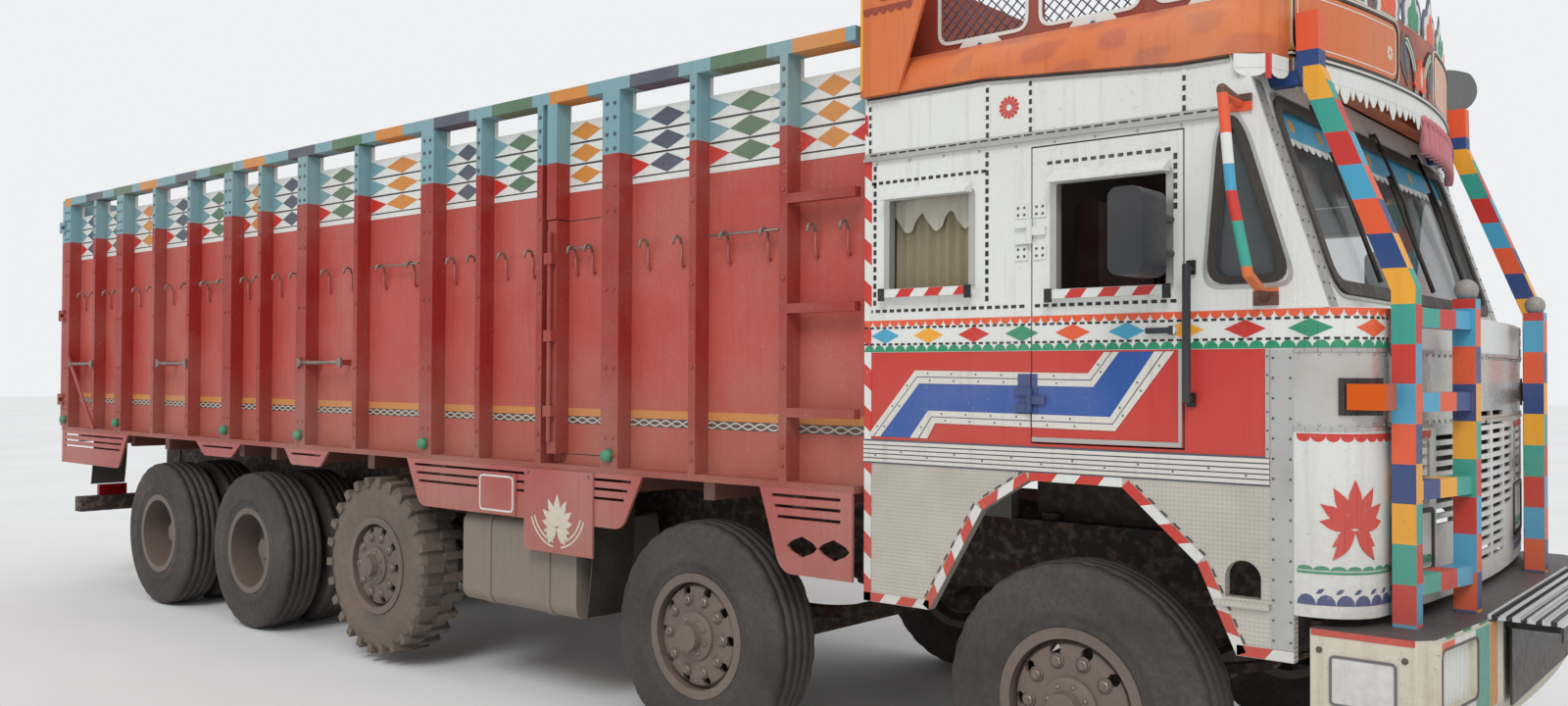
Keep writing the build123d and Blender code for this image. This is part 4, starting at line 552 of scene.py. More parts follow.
# Each finish: its maker, its base colour, and the maker's further values. For weathered paint these are
# grime, fading, chips, the card under the chips, the heights that dust settles between, dents, roughness
# and bare metal.
FINISHES = {
    "body_paint": (weathered, body_tint, 0.3, 0.3, 0.12, (196, 180, 168), 1.1, 1.8, 0.45),
    "rear_leaf_paint": (weathered, door_tint, 0.35, 0.3, 0.15, (120, 80, 60)),
    "valance_paint": (weathered, "valance_red", 0.35, 0.4, 0.2, (110, 84, 70), 0.8, 1.35),
    "cab_paint": (weathered, cab_tint, 0.28, 0.12, 0.1, (120, 90, 70), 0.6, 1.9, 0.25, (0.42, 0.72),
                  (SHEET_Z, (196, 191, 180), quilted)),
    "front_paint": (weathered, "white", 0.28, 0.1, 0.1, (120, 90, 70), 0.7, 1.7, 0.25, (0.42, 0.72),
                    (CHROME_Z, (196, 196, 190), rosettes)),
    "inner_paint": (weathered, (128, 130, 126), 0.4),
    "eave_paint": (weathered, eave_tint, 0.3, 0.3, 0.12, (190, 170, 150)),
    "carrier_paint": (weathered, carrier_tint, 0.4, 0.35, 0.2, (150, 120, 96)),
    "visor_paint": (weathered, visor_tint, 0.35, 0.3),
    "bumper_paint": (weathered, bumper_tint, 0.4, 0.1, 0.14, (110, 74, 52), 0.4, 1.2),
    "bar_paint": (weathered, bar_tint, 0.2, 0.12, 0.14, (90, 84, 80)),
    "step_paint": (weathered, step_tint, 0.3, 0.04, 0.06, (120, 116, 110), 0.2, 0.9),
    "bright_trim": (weathered, (214, 211, 202), 0.3, 0.0, 0.1, (150, 140, 124), 0.5, 1.5, 0.25, (0.3, 0.5)),
    "tank_paint": (weathered, (120, 112, 102), 0.4, 0.2, 0.2, (96, 66, 48), 0.4, 1.3, 0.6),
    "steel_grey": (weathered, (96, 102, 100), 0.3, 0.2, 0.1, (120, 90, 70)),
    "deck_paint": (weathered, (118, 66, 56), 0.5, 0.4, 0.3, (104, 70, 54)),
    "rim_paint": (weathered, (88, 76, 72), 0.5, 0.1, 0.2, (60, 46, 40), 0.1, 1.6),
    "chassis_paint": (rusty, (46, 42, 42), 0.35, 0.1),
    "axle_iron": (rusty, (70, 60, 54), 0.4, 0.3),
    "spring_steel": (rusty, (62, 54, 50), 0.7, 0.3),
    "engine_iron": (rusty, (84, 82, 78), 0.3, 0.4),
    "bare_steel": (rusty, (150, 142, 134), 0.35, 0.6, 0.5),
    "tyre_rubber": (moulded, (35, 35, 38), (0.62, 0.85), 0.34, 130),
    "lug_rubber": (moulded, (84, 76, 70), (0.75, 0.92), 0.75, 130),
    "black_plastic": (moulded, (44, 47, 54), (0.35, 0.5), 0.15),
    "rubber": (moulded, (26, 27, 29), (0.5, 0.7), 0.3),
    "glass": (window_glass, (96, 108, 112), 0.34),
    "aluminium": (bright_metal, (190, 190, 186), (0.3, 0.5)),
    "lamp_lens": (lens, lamp_tint),
    "seat_cover": (cloth, (92, 44, 40)),
    "curtain": (cloth, (150, 138, 108)),
    "lace": (cloth, (206, 200, 184), 0.008),
    "tassel": (cloth, (206, 120, 130), 0.008),
}
# The coat of a plain paint: grime, fading, chips and the card under them.
PLAIN_COAT = (0.2, 0.22, 0.08, (196, 190, 180))

made = {}


def finish_of(key):
    """A finish or a plain paint by its key, made once and shared by every piece that has it."""
    if key not in made:
        maker, *values = FINISHES.get(key, (weathered, key, *PLAIN_COAT))
        made[key] = maker(key, *values)
    return made[key]


NODE_FINISHES = {
    "side_wall": "body_paint", "side_door": "body_paint", "headboard": "body_paint",
    "rear_door": "rear_leaf_paint", "valance": "valance_paint", "cab_side": "cab_paint",
    "cab_door": "cab_paint", "cab_back": "inner_paint", "cab_floor": "inner_paint", "cab_roof": "eave_paint",
    "cab_front": "front_paint", "cab_glass": "glass", "dashboard": "black_plastic",
    "roof_carrier": "carrier_paint", "front_visor": "visor_paint", "bumper": "bumper_paint",
    "front_step": "step_paint", "guard_bars": "bar_paint", "lamps": "lamp_lens",
    "chassis_rails": "chassis_paint", "cross_members": "chassis_paint", "rear_underrun": "chassis_paint",
    "engine_block": "engine_iron", "leaf_springs": "spring_steel", "front_axle_beams": "axle_iron",
    "rear_axles": "axle_iron", "knuckle": "axle_iron", "tanks_and_battery": "tank_paint",
    "load_floor": "deck_paint", "floor_bearers": "deck_paint", "rim": "rim_paint", "tyre": "tyre_rubber",
    "tyre_3": "lug_rubber", "seats": "seat_cover",
}


def node_finish(node):
    """The finish of the longest key that the node's name starts with."""
    return NODE_FINISHES[max((k for k in NODE_FINISHES if node.startswith(k)), key=len)]


# Mesh making


def clip(polygon, axis, limit, above):
    """The part of a convex outline on one side of a limit along one axis."""
    kept = []
    for start, end in zip(polygon, polygon[1:] + polygon[:1]):
        inside = (start[axis] >= limit) == above or start[axis] == limit
        other = (end[axis] >= limit) == above or end[axis] == limit
        if inside:
            kept.append(start)
        if inside != other:
            share = (limit - start[axis]) / (end[axis] - start[axis])
            kept.append(tuple(a + (b - a) * share for a, b in zip(start, end)))
    return kept


def window(polygon, along, upright=(-10, 10)):
    """The part of a convex outline inside a range along and a range in height."""
    for axis, limits in enumerate((along, upright)):
        for limit, above in zip(limits, (True, False)):
            if len(polygon) > 2:
                polygon = clip(polygon, axis, limit, above)
    return polygon if len(polygon) > 2 and area(polygon) > 1e-7 else []


def area(polygon):
    """The size of an outline's face."""
    return abs(sum(a[0] * b[1] - b[0] * a[1] for a, b in zip(polygon, polygon[1:] + polygon[:1]))) / 2


class Piece:
    """Collects the faces of one object, each with the key of its finish."""

    def __init__(self):
        self.mesh = bmesh.new()
        self.keys = []

    def slot(self, key):
        if key not in self.keys:
            self.keys.append(key)
        return self.keys.index(key)

    def face(self, corners, key, smooth=False):
        face = self.mesh.faces.new(corners)
        face.material_index = self.slot(key)
        face.smooth = smooth
        return face

    def prism(self, corners, push, key):
        """A closed plate from a flat outline and the vector that it's pushed along."""
        low = [self.mesh.verts.new(c) for c in corners]
        high = [self.mesh.verts.new(Vector(c) + Vector(push)) for c in corners]
        self.face(low[::-1], key)
        self.face(high, key)
        for n, corner in enumerate(low):
            m = (n + 1) % len(low)
            self.face((corner, low[m], high[m], high[n]), key)

    def box(self, low, high, key):
        (x0, y0, z0), (x1, y1, z1) = low, high
        self.prism([(x0, y0, z0), (x1, y0, z0), (x1, y1, z0), (x0, y1, z0)], (0, 0, z1 - z0), key)

    def tube(self, points, radius, key, sides=8):
        """A round bar through points, with flat ends and mitred bends."""
        points = [Vector(p) for p in points]
        rings = []
        across = None
        for n, point in enumerate(points):
            before = (point - points[n - 1]).normalized() if n else (points[1] - point).normalized()
            after = (points[n + 1] - point).normalized() if n < len(points) - 1 else before
            along = (before + after).normalized()
            if across is None:
                across = along.orthogonal().normalized()
            across = (across - along * across.dot(along)).normalized()
            up = along.cross(across)
            wide = 1 / max(0.4, along.dot(after))
            turn = (after - before)
            turn = turn.normalized() if turn.length > 1e-6 else None
            ring = []
            for k in range(sides):
                angle = 2 * math.pi * k / sides
                offset = across * math.cos(angle) + up * math.sin(angle)
                if turn is not None:
                    offset += turn * offset.dot(turn) * (wide - 1)
                ring.append(self.mesh.verts.new(point + offset * radius))
            rings.append(ring)
        self.skin(rings, key)

    def circle(self, centre, across, up, radius, sides):
        """A ring of corners round a centre."""
        angles = (2 * math.pi * k / sides for k in range(sides))
        ways = [across * math.cos(angle) + up * math.sin(angle) for angle in angles]
        return [self.mesh.verts.new(centre + way * radius) for way in ways]

    def skin(self, rings, key, round_end=False):
        """Smooth faces from ring to ring, closed at both ends."""
        for a, b in zip(rings, rings[1:]):
            for k in range(len(a)):
                m = (k + 1) % len(a)
                self.face((a[k], a[m], b[m], b[k]), key, True)
        self.face(rings[0][::-1], key)
        self.face(rings[-1], key, round_end)

    def dome(self, centre, normal, radius, height, key, sides=8):
        """A rivet or bolt head standing on a surface."""
        centre, normal = Vector(centre), Vector(normal).normalized()
        across = normal.orthogonal().normalized()
        up = normal.cross(across)
        rings = [self.circle(centre + normal * height * rise, across, up, radius * share, sides)
                 for share, rise in ((1, 0), (0.75, 0.7))]
        self.skin(rings, key, True)

    def lathe(self, outline, centre, key, steps, radius_at):
        """A closed outline of (radius, across) turned about a line along Y, worn as radius_at says."""
        rings = []
        for k in range(steps):
            angle = 2 * math.pi * k / steps
            ring = []
            for radius, across in outline:
                r = radius_at(k, radius)
                ring.append(self.mesh.verts.new((centre[0] + r * math.cos(angle), centre[1] + across,
                                                 centre[2] + r * math.sin(angle))))
            rings.append(ring)
        count = len(outline)
        for k in range(steps):
            a, b = rings[k], rings[(k + 1) % steps]
            for n in range(count):
                m = (n + 1) % count
                self.face((a[n], b[n], b[m], a[m]), key, True)

    def done(self, name, body, slot, replaces=()):
        """Makes the object, in place on its body."""
        bmesh.ops.recalc_face_normals(self.mesh, faces=self.mesh.faces)
        piece = made_object(name, self.mesh, *(finish_of(key) for key in self.keys))
        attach(piece, body)
        if replaces:
            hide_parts(*replaces)
        return piece


def made_object(name, mesh, *materials):
    """An object in the scene from a mesh in the making."""
    data = bpy.data.meshes.new(name)
    mesh.to_mesh(data)
    mesh.free()
    for material in materials:
        data.materials.append(material)
    item = bpy.data.objects.new(name, data)
    bpy.context.scene.collection.objects.link(item)
    return item


def round_arc(start, middle, end, steps):
    """Points of the arc through three points in plan."""
    (ax, ay), (bx, by), (cx, cy) = start, middle, end
    d = 2 * (ax * (by - cy) + bx * (cy - ay) + cx * (ay - by))
    a, b, c = (x * x + y * y for x, y in (start, middle, end))
    ux = (a * (by - cy) + b * (cy - ay) + c * (ay - by)) / d
    uy = (a * (cx - bx) + b * (ax - cx) + c * (bx - ax)) / d
    radius = math.hypot(ax - ux, ay - uy)
    first, through, last = (math.atan2(y - uy, x - ux) for x, y in (start, middle, end))
    turn = (last - first) % (2 * math.pi)
    if (through - first) % (2 * math.pi) > turn:
        turn -= 2 * math.pi
    angles = [first + turn * n / steps for n in range(steps + 1)]
    return [(ux + radius * math.cos(angle), uy + radius * math.sin(angle)) for angle in angles]


OVERLAP = 0.0003


class Surface:
    """A face that outlines are laid on."""

    def fill(self, piece, outlines, key, lift, base=0.0):
        """Lays outlines that keep clear of each other."""
        for outline in outlines:
            self.lay(piece, outline, key, lift, base)

    def stack(self, piece, outlines, key, lift, base=0.0):
        """Lays outlines that overlap, each a hair above the one before."""
        for n, outline in enumerate(outlines):
            self.lay(piece, outline, key, lift + n * OVERLAP, base)


class Wall(Surface):
    """An upright surface drawn in plan from the first axle, with a measure along it."""

    def __init__(self, points, start, side=1):
        self.points = [Vector((x, y * side, 0)) for x, y in points]
        self.marks = [start]
        for a, b in zip(self.points, self.points[1:]):
            self.marks.append(self.marks[-1] + (b - a).length)

    def spans(self):
        for n, (a, b) in enumerate(zip(self.points, self.points[1:])):
            along = (b - a).normalized()
            normal = Vector((along.y, -along.x, 0))
            if normal.dot((a + b) / 2 - Vector((-0.4, 0, 0))) < 0:
                normal = -normal
            yield self.marks[n], self.marks[n + 1], a, along, normal

    def lay(self, piece, polygon, key, lift, base=0.0):
        """Lays an outline of (distance along, height) on the wall, cut where the wall bends."""
        for low, high, origin, along, normal in self.spans():
            part = window(polygon, (low, high))
            if part:
                corners = [origin + along * (s - low) + normal * base + Vector((AXLE, 0, z)) for s, z in part]
                piece.prism(corners, normal * lift, key)

    def where(self, y):
        """The distance along at which the wall has come in to a place across."""
        for a, b, mark in zip(self.points, self.points[1:], self.marks):
            if abs(b.y) <= y < abs(a.y):
                return mark + (b - a).length * (abs(a.y) - y) / (abs(a.y) - abs(b.y))

    def at(self, distance, height, out=0.0):
        """The place on the wall at a distance along and a height, and the way out of it."""
        for low, high, origin, along, normal in self.spans():
            if distance <= high or high == self.marks[-1]:
                return origin + along * (distance - low) + normal * out + Vector((AXLE, 0, height)), normal


class Board(Surface):
    """A flat face, with its own two directions from a corner."""

    def __init__(self, origin, along, up):
        self.origin = Vector(origin) + Vector((AXLE, 0, 0))
        self.along, self.up = Vector(along).normalized(), Vector(up).normalized()
        self.normal = self.along.cross(self.up)

    def at(self, a, b, out=0.0):
        return self.origin + self.along * a + self.up * b + self.normal * out, self.normal

    def lay(self, piece, polygon, key, lift, base=0.0):
        piece.prism([self.at(a, b, base)[0] for a, b in polygon], self.normal * lift, key)


CAB_OUT = 1.22
CAB_REAR = -0.92
CAB_FRONT = 0.79
COWL_CORNER = (1.010, 1.060)
COWL_NOSE = (1.085, 0.0)


CAB_DOOR = (-0.151, 0.424, 1.466, 2.547)
DOOR_GAP = 0.006
FAR = 10


class CabWall(Wall):
    """The cab's side, where an outline may be shared between the cab's piece and the door's."""

    def lay(self, piece, polygon, key, lift, base=0.0):
        """Lays an outline on one piece, or on a pair of them: the cab's piece and the door's."""
        if isinstance(piece, Piece):
            super().lay(piece, polygon, key, lift, base)
            return
        cab, door = piece
        rear, front, bottom, top = CAB_DOOR
        super().lay(door, window(polygon, (rear, front), (bottom, top)), key, lift, base)
        rear, front, bottom, top = rear - DOOR_GAP, front + DOOR_GAP, bottom - DOOR_GAP, top + DOOR_GAP
        for along, upright in (((-FAR, rear), (-FAR, FAR)), ((front, FAR), (-FAR, FAR)),
                               ((rear, front), (-FAR, bottom)), ((rear, front), (top, FAR))):
            super().lay(cab, window(polygon, along, upright), key, lift, base)


def cab_wall(side):
    """The cab's side, round its corner and on to the middle of the cowl."""
    out, corner = CAB_OUT, COWL_CORNER
    bend = (CAB_FRONT + 0.72 * (corner[0] - CAB_FRONT), out - 0.28 * (out - corner[1]))
    points = [(CAB_REAR, out)] + round_arc((CAB_FRONT, out), bend, corner, 8)
    points += [p for p in round_arc(corner, COWL_NOSE, (corner[0], -corner[1]), 24)[1:13]]
    return CabWall(points, CAB_REAR, side)


def body_wall(side, out=1.160):
    """The load body's wall at a distance from the middle."""
    return Wall([(-9.19, out), (-0.95, out)], -9.19, side)


# Painted patterns, as outlines in distance along and height


def rectangle(low, high, bottom, top):
    """An upright oblong's outline."""
    return [(low, bottom), (high, bottom), (high, top), (low, top)]


def diamond(middle, height, half_length, half_height):
    """A diamond's outline round its middle."""
    return [(middle - half_length, height), (middle, height - half_height), (middle + half_length, height),
            (middle, height + half_height)]


def scallops(low, high, base, pitch, depth, steps=6):
    """Half rounds in a row, hanging from base, or standing on it where depth is negative."""
    count = max(1, round((high - low) / pitch))
    pitch = (high - low) / count
    for n in range(count):
        middle = low + (n + 0.5) * pitch
        angles = [math.pi * k / steps for k in range(steps + 1)]
        yield [(middle + pitch / 2 * math.cos(angle), base - depth * math.sin(angle)) for angle in angles]


def dashes(low, high, bottom, top, pitch, share=0.5):
    """Oblongs in a row, each as long as its share of the pitch."""
    count = max(1, round((high - low) / pitch))
    pitch = (high - low) / count
    for n in range(count):
        yield rectangle(low + n * pitch, low + (n + share) * pitch, bottom, top)


def slanted_band(start, end, width, pitch, offset=0.0):
    """Slanted blocks to the left of a straight edge whose ends are (distance, height)."""
    (ax, az), (bx, bz) = start, end
    run = math.hypot(bx - ax, bz - az)
    ux, uz = (bx - ax) / run, (bz - az) / run
    nx, nz = -uz, ux
    count = max(2, round(run / pitch))
    step = run / count
    slant = width * 0.8
    for n in range(count):
        a, b = n * step, (n + 1) * step
        inner_a = a if n == 0 else a + slant
        inner_b = b if n == count - 1 else b + slant
        inner = offset + width
        points = [(a, offset), (b, offset), (min(inner_b, run), inner), (min(inner_a, run), inner)]
        yield n, [(ax + ux * s + nx * w, az + uz * s + nz * w) for s, w in points]


def cab_pair(make, name, slot="cab_side", door_slot="cab_door"):
    """Makes a pattern on both sides of the cab, on the cab's and the doors' own pieces."""
    for side_name, side in SIDES.items():
        pieces = (Piece(), Piece())
        make(pieces, side)
        pieces[0].done(f"{name}_{side_name}", "truck", slot)
        if pieces[1].keys:
            pieces[1].done(f"{name}_door_{side_name}", f"cab_door_{side_name}", door_slot)
        else:
            pieces[1].mesh.free()


def both_sides(make, **slots):
    """Makes named pieces on both sides of the truck."""
    for side_name, side in SIDES.items():
        pieces = [Piece() for _ in slots]
        make(side, *pieces)
        for piece, (name, slot) in zip(pieces, slots.items()):
            piece.done(f"{name}_{side_name}", "truck", slot)


# The stage


class TRUCK_OT_stage(bpy.types.Operator):
    """Sets the floor, the soft light and the camera."""

    bl_idname = "truck.stage"
    bl_label = "Stage and Camera"

    eye = (6.087, -5.364, 1.708)
    turn = math.radians(40.506)
    pitch = math.radians(0.988)
    roll = math.radians(0.257)
    focal = 29.1285
    sun = 1.25
    sky = 0.72

    def camera(self, context):
        """The camera that the photo was worked out with."""
        data = bpy.data.cameras.new("camera")
        data.lens = self.focal
        data.sensor_width = 36
        data.clip_end = 500
        level = math.cos(self.pitch)
        ahead = Vector((-math.sin(self.turn) * level, math.cos(self.turn) * level, math.sin(self.pitch)))
        across = Vector((math.cos(self.turn), math.sin(self.turn), 0))
        up = across.cross(ahead)
        right = across * math.cos(self.roll) + up * math.sin(self.roll)
        up = up * math.cos(self.roll) - across * math.sin(self.roll)
        camera = bpy.data.objects.new("camera", data)
        camera.matrix_world = Matrix.Translation(self.eye) @ Matrix((right, up, -ahead)).transposed().to_4x4()
        context.scene.collection.objects.link(camera)
        context.scene.camera = camera

    def light(self, context):
        sun = bpy.data.lights.new("sun", "SUN")
        sun.energy = self.sun
        sun.angle = math.radians(24)
        lamp = bpy.data.objects.new("sun", sun)
        lamp.rotation_euler = Vector((0.36, -0.62, 0.70)).to_track_quat("Z", "Y").to_euler()
        context.scene.collection.objects.link(lamp)
        world = bpy.data.worlds.new("studio")
        world.use_nodes = True
        nodes, links = world.node_tree.nodes, world.node_tree.links
        backdrop = nodes["Background"]
        backdrop.inputs["Color"].default_value = (1, 1, 1, 1)
        backdrop.inputs["Strength"].default_value = self.sky
        seen = nodes.new("ShaderNodeBackground")
        seen.inputs["Color"].default_value = (*srgb(238, 240, 242), 1)
        path = nodes.new("ShaderNodeLightPath")
        direct = nodes.new("ShaderNodeMath")
        direct.operation = "MAXIMUM"
        mixed = nodes.new("ShaderNodeMixShader")
        for output, socket in ((path.outputs["Is Camera Ray"], direct.inputs[0]),
                               (path.outputs["Is Transmission Ray"], direct.inputs[1]),
                               (direct.outputs[0], mixed.inputs[0]), (backdrop.outputs[0], mixed.inputs[1]),
                               (seen.outputs[0], mixed.inputs[2]),
                               (mixed.outputs[0], nodes["World Output"].inputs["Surface"])):
            links.new(output, socket)
        context.scene.world = world

    def floor(self):
        """Pale ground under the truck."""
        finish = Finish("studio_floor")
        blotch = finish.noise(0.35, 4)
        tint = finish.mix(finish.span(blotch, 0.3, 0.7), srgb(226, 227, 228), srgb(234, 235, 236))
        finish.coat(tint, finish.patches((12, 3), 0.3, 0.7, 0.8, 0.95))
        mesh = bmesh.new()
        bmesh.ops.create_grid(mesh, x_segments=2, y_segments=2, size=90)
        floor = made_object("floor", mesh, finish.material)
        floor.location.z = -0.002

    def execute(self, context):
        context.scene.view_settings.view_transform = "Standard"
        self.camera(context)
        self.light(context)
        self.floor()
        return {"FINISHED"}


class TRUCK_OT_frame_paint(bpy.types.Operator):
    """Gives each carried-over piece of the frame its own finish."""

    bl_idname = "truck.frame_paint"
    bl_label = "Frame Paint"

    def execute(self, context):
        for name, node in NODES.items():
            node.data.materials.clear()
            node.data.materials.append(finish_of(node_finish(name)))
        return {"FINISHED"}


# Load body

POSTS = (-9.19, -8.60, -8.16, -7.52, -6.95, -6.40, -5.92, -5.41, -4.74, -4.04, -3.52, -3.00, -2.498, -1.902,
         -1.358)
WIDE_POSTS = (-9.19, -8.16, -6.40, -5.41, -4.04, -2.498)
NARROW, WIDE = 0.045, 0.122
BODY_FRONT = -0.95
POST_OUT, PANEL_OUT = 1.25, 1.16
SLAT_ROWS = ((2.666, 2.766), (2.774, 2.876), (2.884, 2.986))
SIDE_DOOR = (-2.92, -2.498)


def bays():
    """The gaps between posts, from the rear, as (rear, front)."""
    ends = list(POSTS[1:]) + [BODY_FRONT]
    for post, end in zip(POSTS, ends):
        yield post + (WIDE if post in WIDE_POSTS else NARROW), end


class TRUCK_OT_slat_diamonds(bpy.types.Operator):
    """Paints the rows of diamonds on the slats along both sides."""

    bl_idname = "truck.slat_diamonds"
    bl_label = "Slat Diamonds"

    def paint(self, side, piece):
        """One side of the truck."""
        lift = sizes().paint_lift
        wall = body_wall(side)
        for number, (rear, front) in enumerate(bays()):
            key = ("slate", "moss", "ochre")[number % 3]
            quarter = (front - rear) / 4
            for row, (low, high) in enumerate(SLAT_ROWS):
                height, half = (low + high) / 2, (high - low) / 2 - 0.004
                wall.lay(piece, diamond((rear + front) / 2, height, quarter, half), key, lift)
                edge = "signal_red" if row == 0 else "rail_blue"
                for tip, foot in ((rear + quarter, rear), (front - quarter, front)):
                    wall.lay(piece, [(foot, height - half), (tip, height), (foot, height + half)], edge, lift)
                # A thin black line at the foot of each row is painted shade in the joint under the slat.
                wall.lay(piece, rectangle(rear, front, low - 0.0065, low), "black", lift)
            wall.lay(piece, rectangle(rear, front, 2.632, 2.6595), "white", lift)

    def execute(self, context):
        both_sides(self.paint, slat_diamonds="side_wall")
        return {"FINISHED"}


class TRUCK_OT_rope_hooks(bpy.types.Operator):
    """Hangs the rope hooks, with the thin rods that join some of them."""

    bl_idname = "truck.rope_hooks"
    bl_label = "Rope Hooks"

    # The hook's line as (distance from the panel, height).
    shank = ((0.0, 2.212), (0.012, 2.214), (0.018, 2.235), (0.020, 2.318))
    curl = ((0.020, 2.318), (0.030, 2.344), (0.050, 2.352), (0.070, 2.340), (0.074, 2.312))

    def hook(self, piece, x, side):
        """One hook: a painted shank and a bare curl."""
        for line, key in ((self.shank, "valance_red"), (self.curl, "bare_steel")):
            points = [(x + AXLE, side * (PANEL_OUT + out), height) for out, height in line]
            piece.tube(points, sizes().hook_radius, key)

    def execute(self, context):
        for side_name, side in SIDES.items():
            body, door = Piece(), Piece()
            for number, (rear, front) in enumerate(bays()):
                on_door = rear < (SIDE_DOOR[0] + SIDE_DOOR[1]) / 2 < front
                low, high = (SIDE_DOOR[0] + 0.09, SIDE_DOOR[1] - 0.03) if on_door else (rear, front)
                places = [low + (high - low) * share for share in ((0.18, 0.60) if on_door else (0.27, 0.75))]
                for x in places:
                    self.hook(door if on_door else body, x, side)
                if number in (4, 8, 11, 13):
                    y, z = side * (PANEL_OUT + 0.050), 2.338
                    past = 0.02 if on_door else 0.09
                    ends = (places[0] - past + AXLE, y, z), (places[1] + past + AXLE, y, z)
                    (door if on_door else body).tube(ends, 0.006, "bare_steel")
            body.done(f"rope_hooks_{side_name}", "truck", "side_wall")
            door.done(f"rope_hooks_door_{side_name}", f"side_door_{side_name}", "side_door")
        return {"FINISHED"}


class TRUCK_OT_body_fittings(bpy.types.Operator):
    """Bolts the posts, the lock rods, the brace and the marker lamps."""

    bl_idname = "truck.body_fittings"
    bl_label = "Body Fittings"

    rods = ((-8.94, -8.62), (-7.30, -6.97), (-5.27, -4.90))

    def fit(self, side, bolts, rods, lamps):
        """One side of the truck."""
        out = Vector((0, side, 0))
        for post in POSTS:
            wide = post in WIDE_POSTS
            shares = (0.27, 0.73) if wide else (0.5,)
            for share in shares:
                x = post + share * (WIDE if wide else NARROW) + AXLE
                for z in (2.80, 2.87, 2.95, 3.02):
                    bolts.dome((x, side * POST_OUT, z), out, 0.011, 0.008, "slate", 6)
                for z in (1.32, 1.40, 1.74, 2.12, 2.50, 2.62):
                    bolts.dome((x, side * POST_OUT, z), out, 0.010, 0.007, "crown_red", 6)
            if wide:
                middle = post + WIDE / 2 + AXLE
                lamps.dome((middle, side * POST_OUT, 1.315), out, 0.034, 0.05, "green", 12)
        for rear, front in self.rods:
            y = side * (POST_OUT + 0.004)
            rods.tube([(rear - 0.05 + AXLE, y, 1.772), (front + AXLE, y, 1.772)], 0.011, "bare_steel")
            for end, reach in ((rear - 0.05, -0.05), (front, 0.05)):
                x = end + AXLE
                rods.prism([(x, y, 1.760), (x + reach, y, 1.738), (x + reach, y, 1.806), (x, y, 1.784)],
                           (0, side * 0.012, 0), "bare_steel")
            for x in (rear + 0.02, front - 0.02):
                rods.box((x - 0.012 + AXLE, min(y, side * PANEL_OUT), 1.755),
                         (x + 0.012 + AXLE, max(y, side * PANEL_OUT), 1.789), "post_red")
        brace = [(-9.112, 1.862), (-9.060, 1.862), (-8.520, 1.260), (-8.572, 1.260)]
        body_wall(side, POST_OUT).lay(rods, brace, "post_red", 0.012)

    def execute(self, context):
        both_sides(self.fit, post_bolts="side_wall", lock_rods="side_wall", marker_lamps="lamps")
        return {"FINISHED"}


class TRUCK_OT_rear_fittings(bpy.types.Operator):
    """Paints the recessed panels of the rear leaves and fits their rivets, levers and blank plate."""

    bl_idname = "truck.rear_fittings"
    bl_label = "Rear Fittings"

    columns = ((0.063, 0.600), (0.660, 1.182))
    bays = ((1.321, 1.840), (1.900, 2.480), (2.540, 3.070))
    recess = 0.030
    rows = ((2.847, "ochre"), (2.982, "moss"))

    def panel(self, piece, face, low, high, bottom, top):
        """Seams between planks and a row of rivets down each edge."""
        for share in (0.25, 0.5, 0.75):
            seam = low + (high - low) * share
            face.lay(piece, rectangle(seam - 0.002, seam + 0.002, bottom, top), "black", sizes().paint_lift)
        for across in (low + 0.025, high - 0.025):
            for n in range(5):
                height = bottom + 0.04 + n * (top - bottom - 0.08) / 4
                piece.dome(*face.at(across, height), sizes().rivet_radius, 0.004, "slate", 6)

    def execute(self, context):
        lift = sizes().paint_lift * 2
        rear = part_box("rear_door_left")[0].x
        face = Board((rear - AXLE + self.recess, 0, 0), (0, -1, 0), (0, 0, 1))
        for side_name, side in SIDES.items():
            piece = Piece()
            for column in self.columns:
                low, high = sorted(-side * y for y in column)
                for bottom, top in self.bays:
                    self.panel(piece, face, low, high, bottom, top)
                quarter = (high - low) / 4
                face.lay(piece, rectangle(low, high, 2.780, 3.050), "white", lift)
                for height, key in self.rows:
                    for n in range(4):
                        tile = diamond(low + (n + 0.5) * quarter, height, quarter / 2 - 0.004, 0.060)
                        face.lay(piece, tile, key, lift * 1.5)
                face.fill(piece, petals((low + high) / 2, 2.190, 12, 0.025, 0.105), "cream", lift)
            lever = sorted((side * 0.063, side * 0.270))
            piece.box((rear + 0.004, lever[0], 1.640), (rear + 0.016, lever[1], 1.664), "bare_steel")
            piece.dome((rear + 0.016, side * 0.250, 1.652), (-1, 0, 0), 0.020, 0.014, "bare_steel", 10)
            if side > 0:
                plate = rectangle(-1.080, -0.760, 1.500, 1.620)
                face.lay(piece, plate, "white", lift * 2)
                face.fill(piece, ring(plate, 0.006, 0.002, 0.01), "slate", lift * 2.5)
            piece.done(f"rear_fittings_{side_name}", f"rear_door_{side_name}", "rear_door")
        return {"FINISHED"}


# Cab sides

BELT = (1.800, 1.930)
BELT_COLOURS = ("sky", "amber", "signal_red", "green", "orange_red")


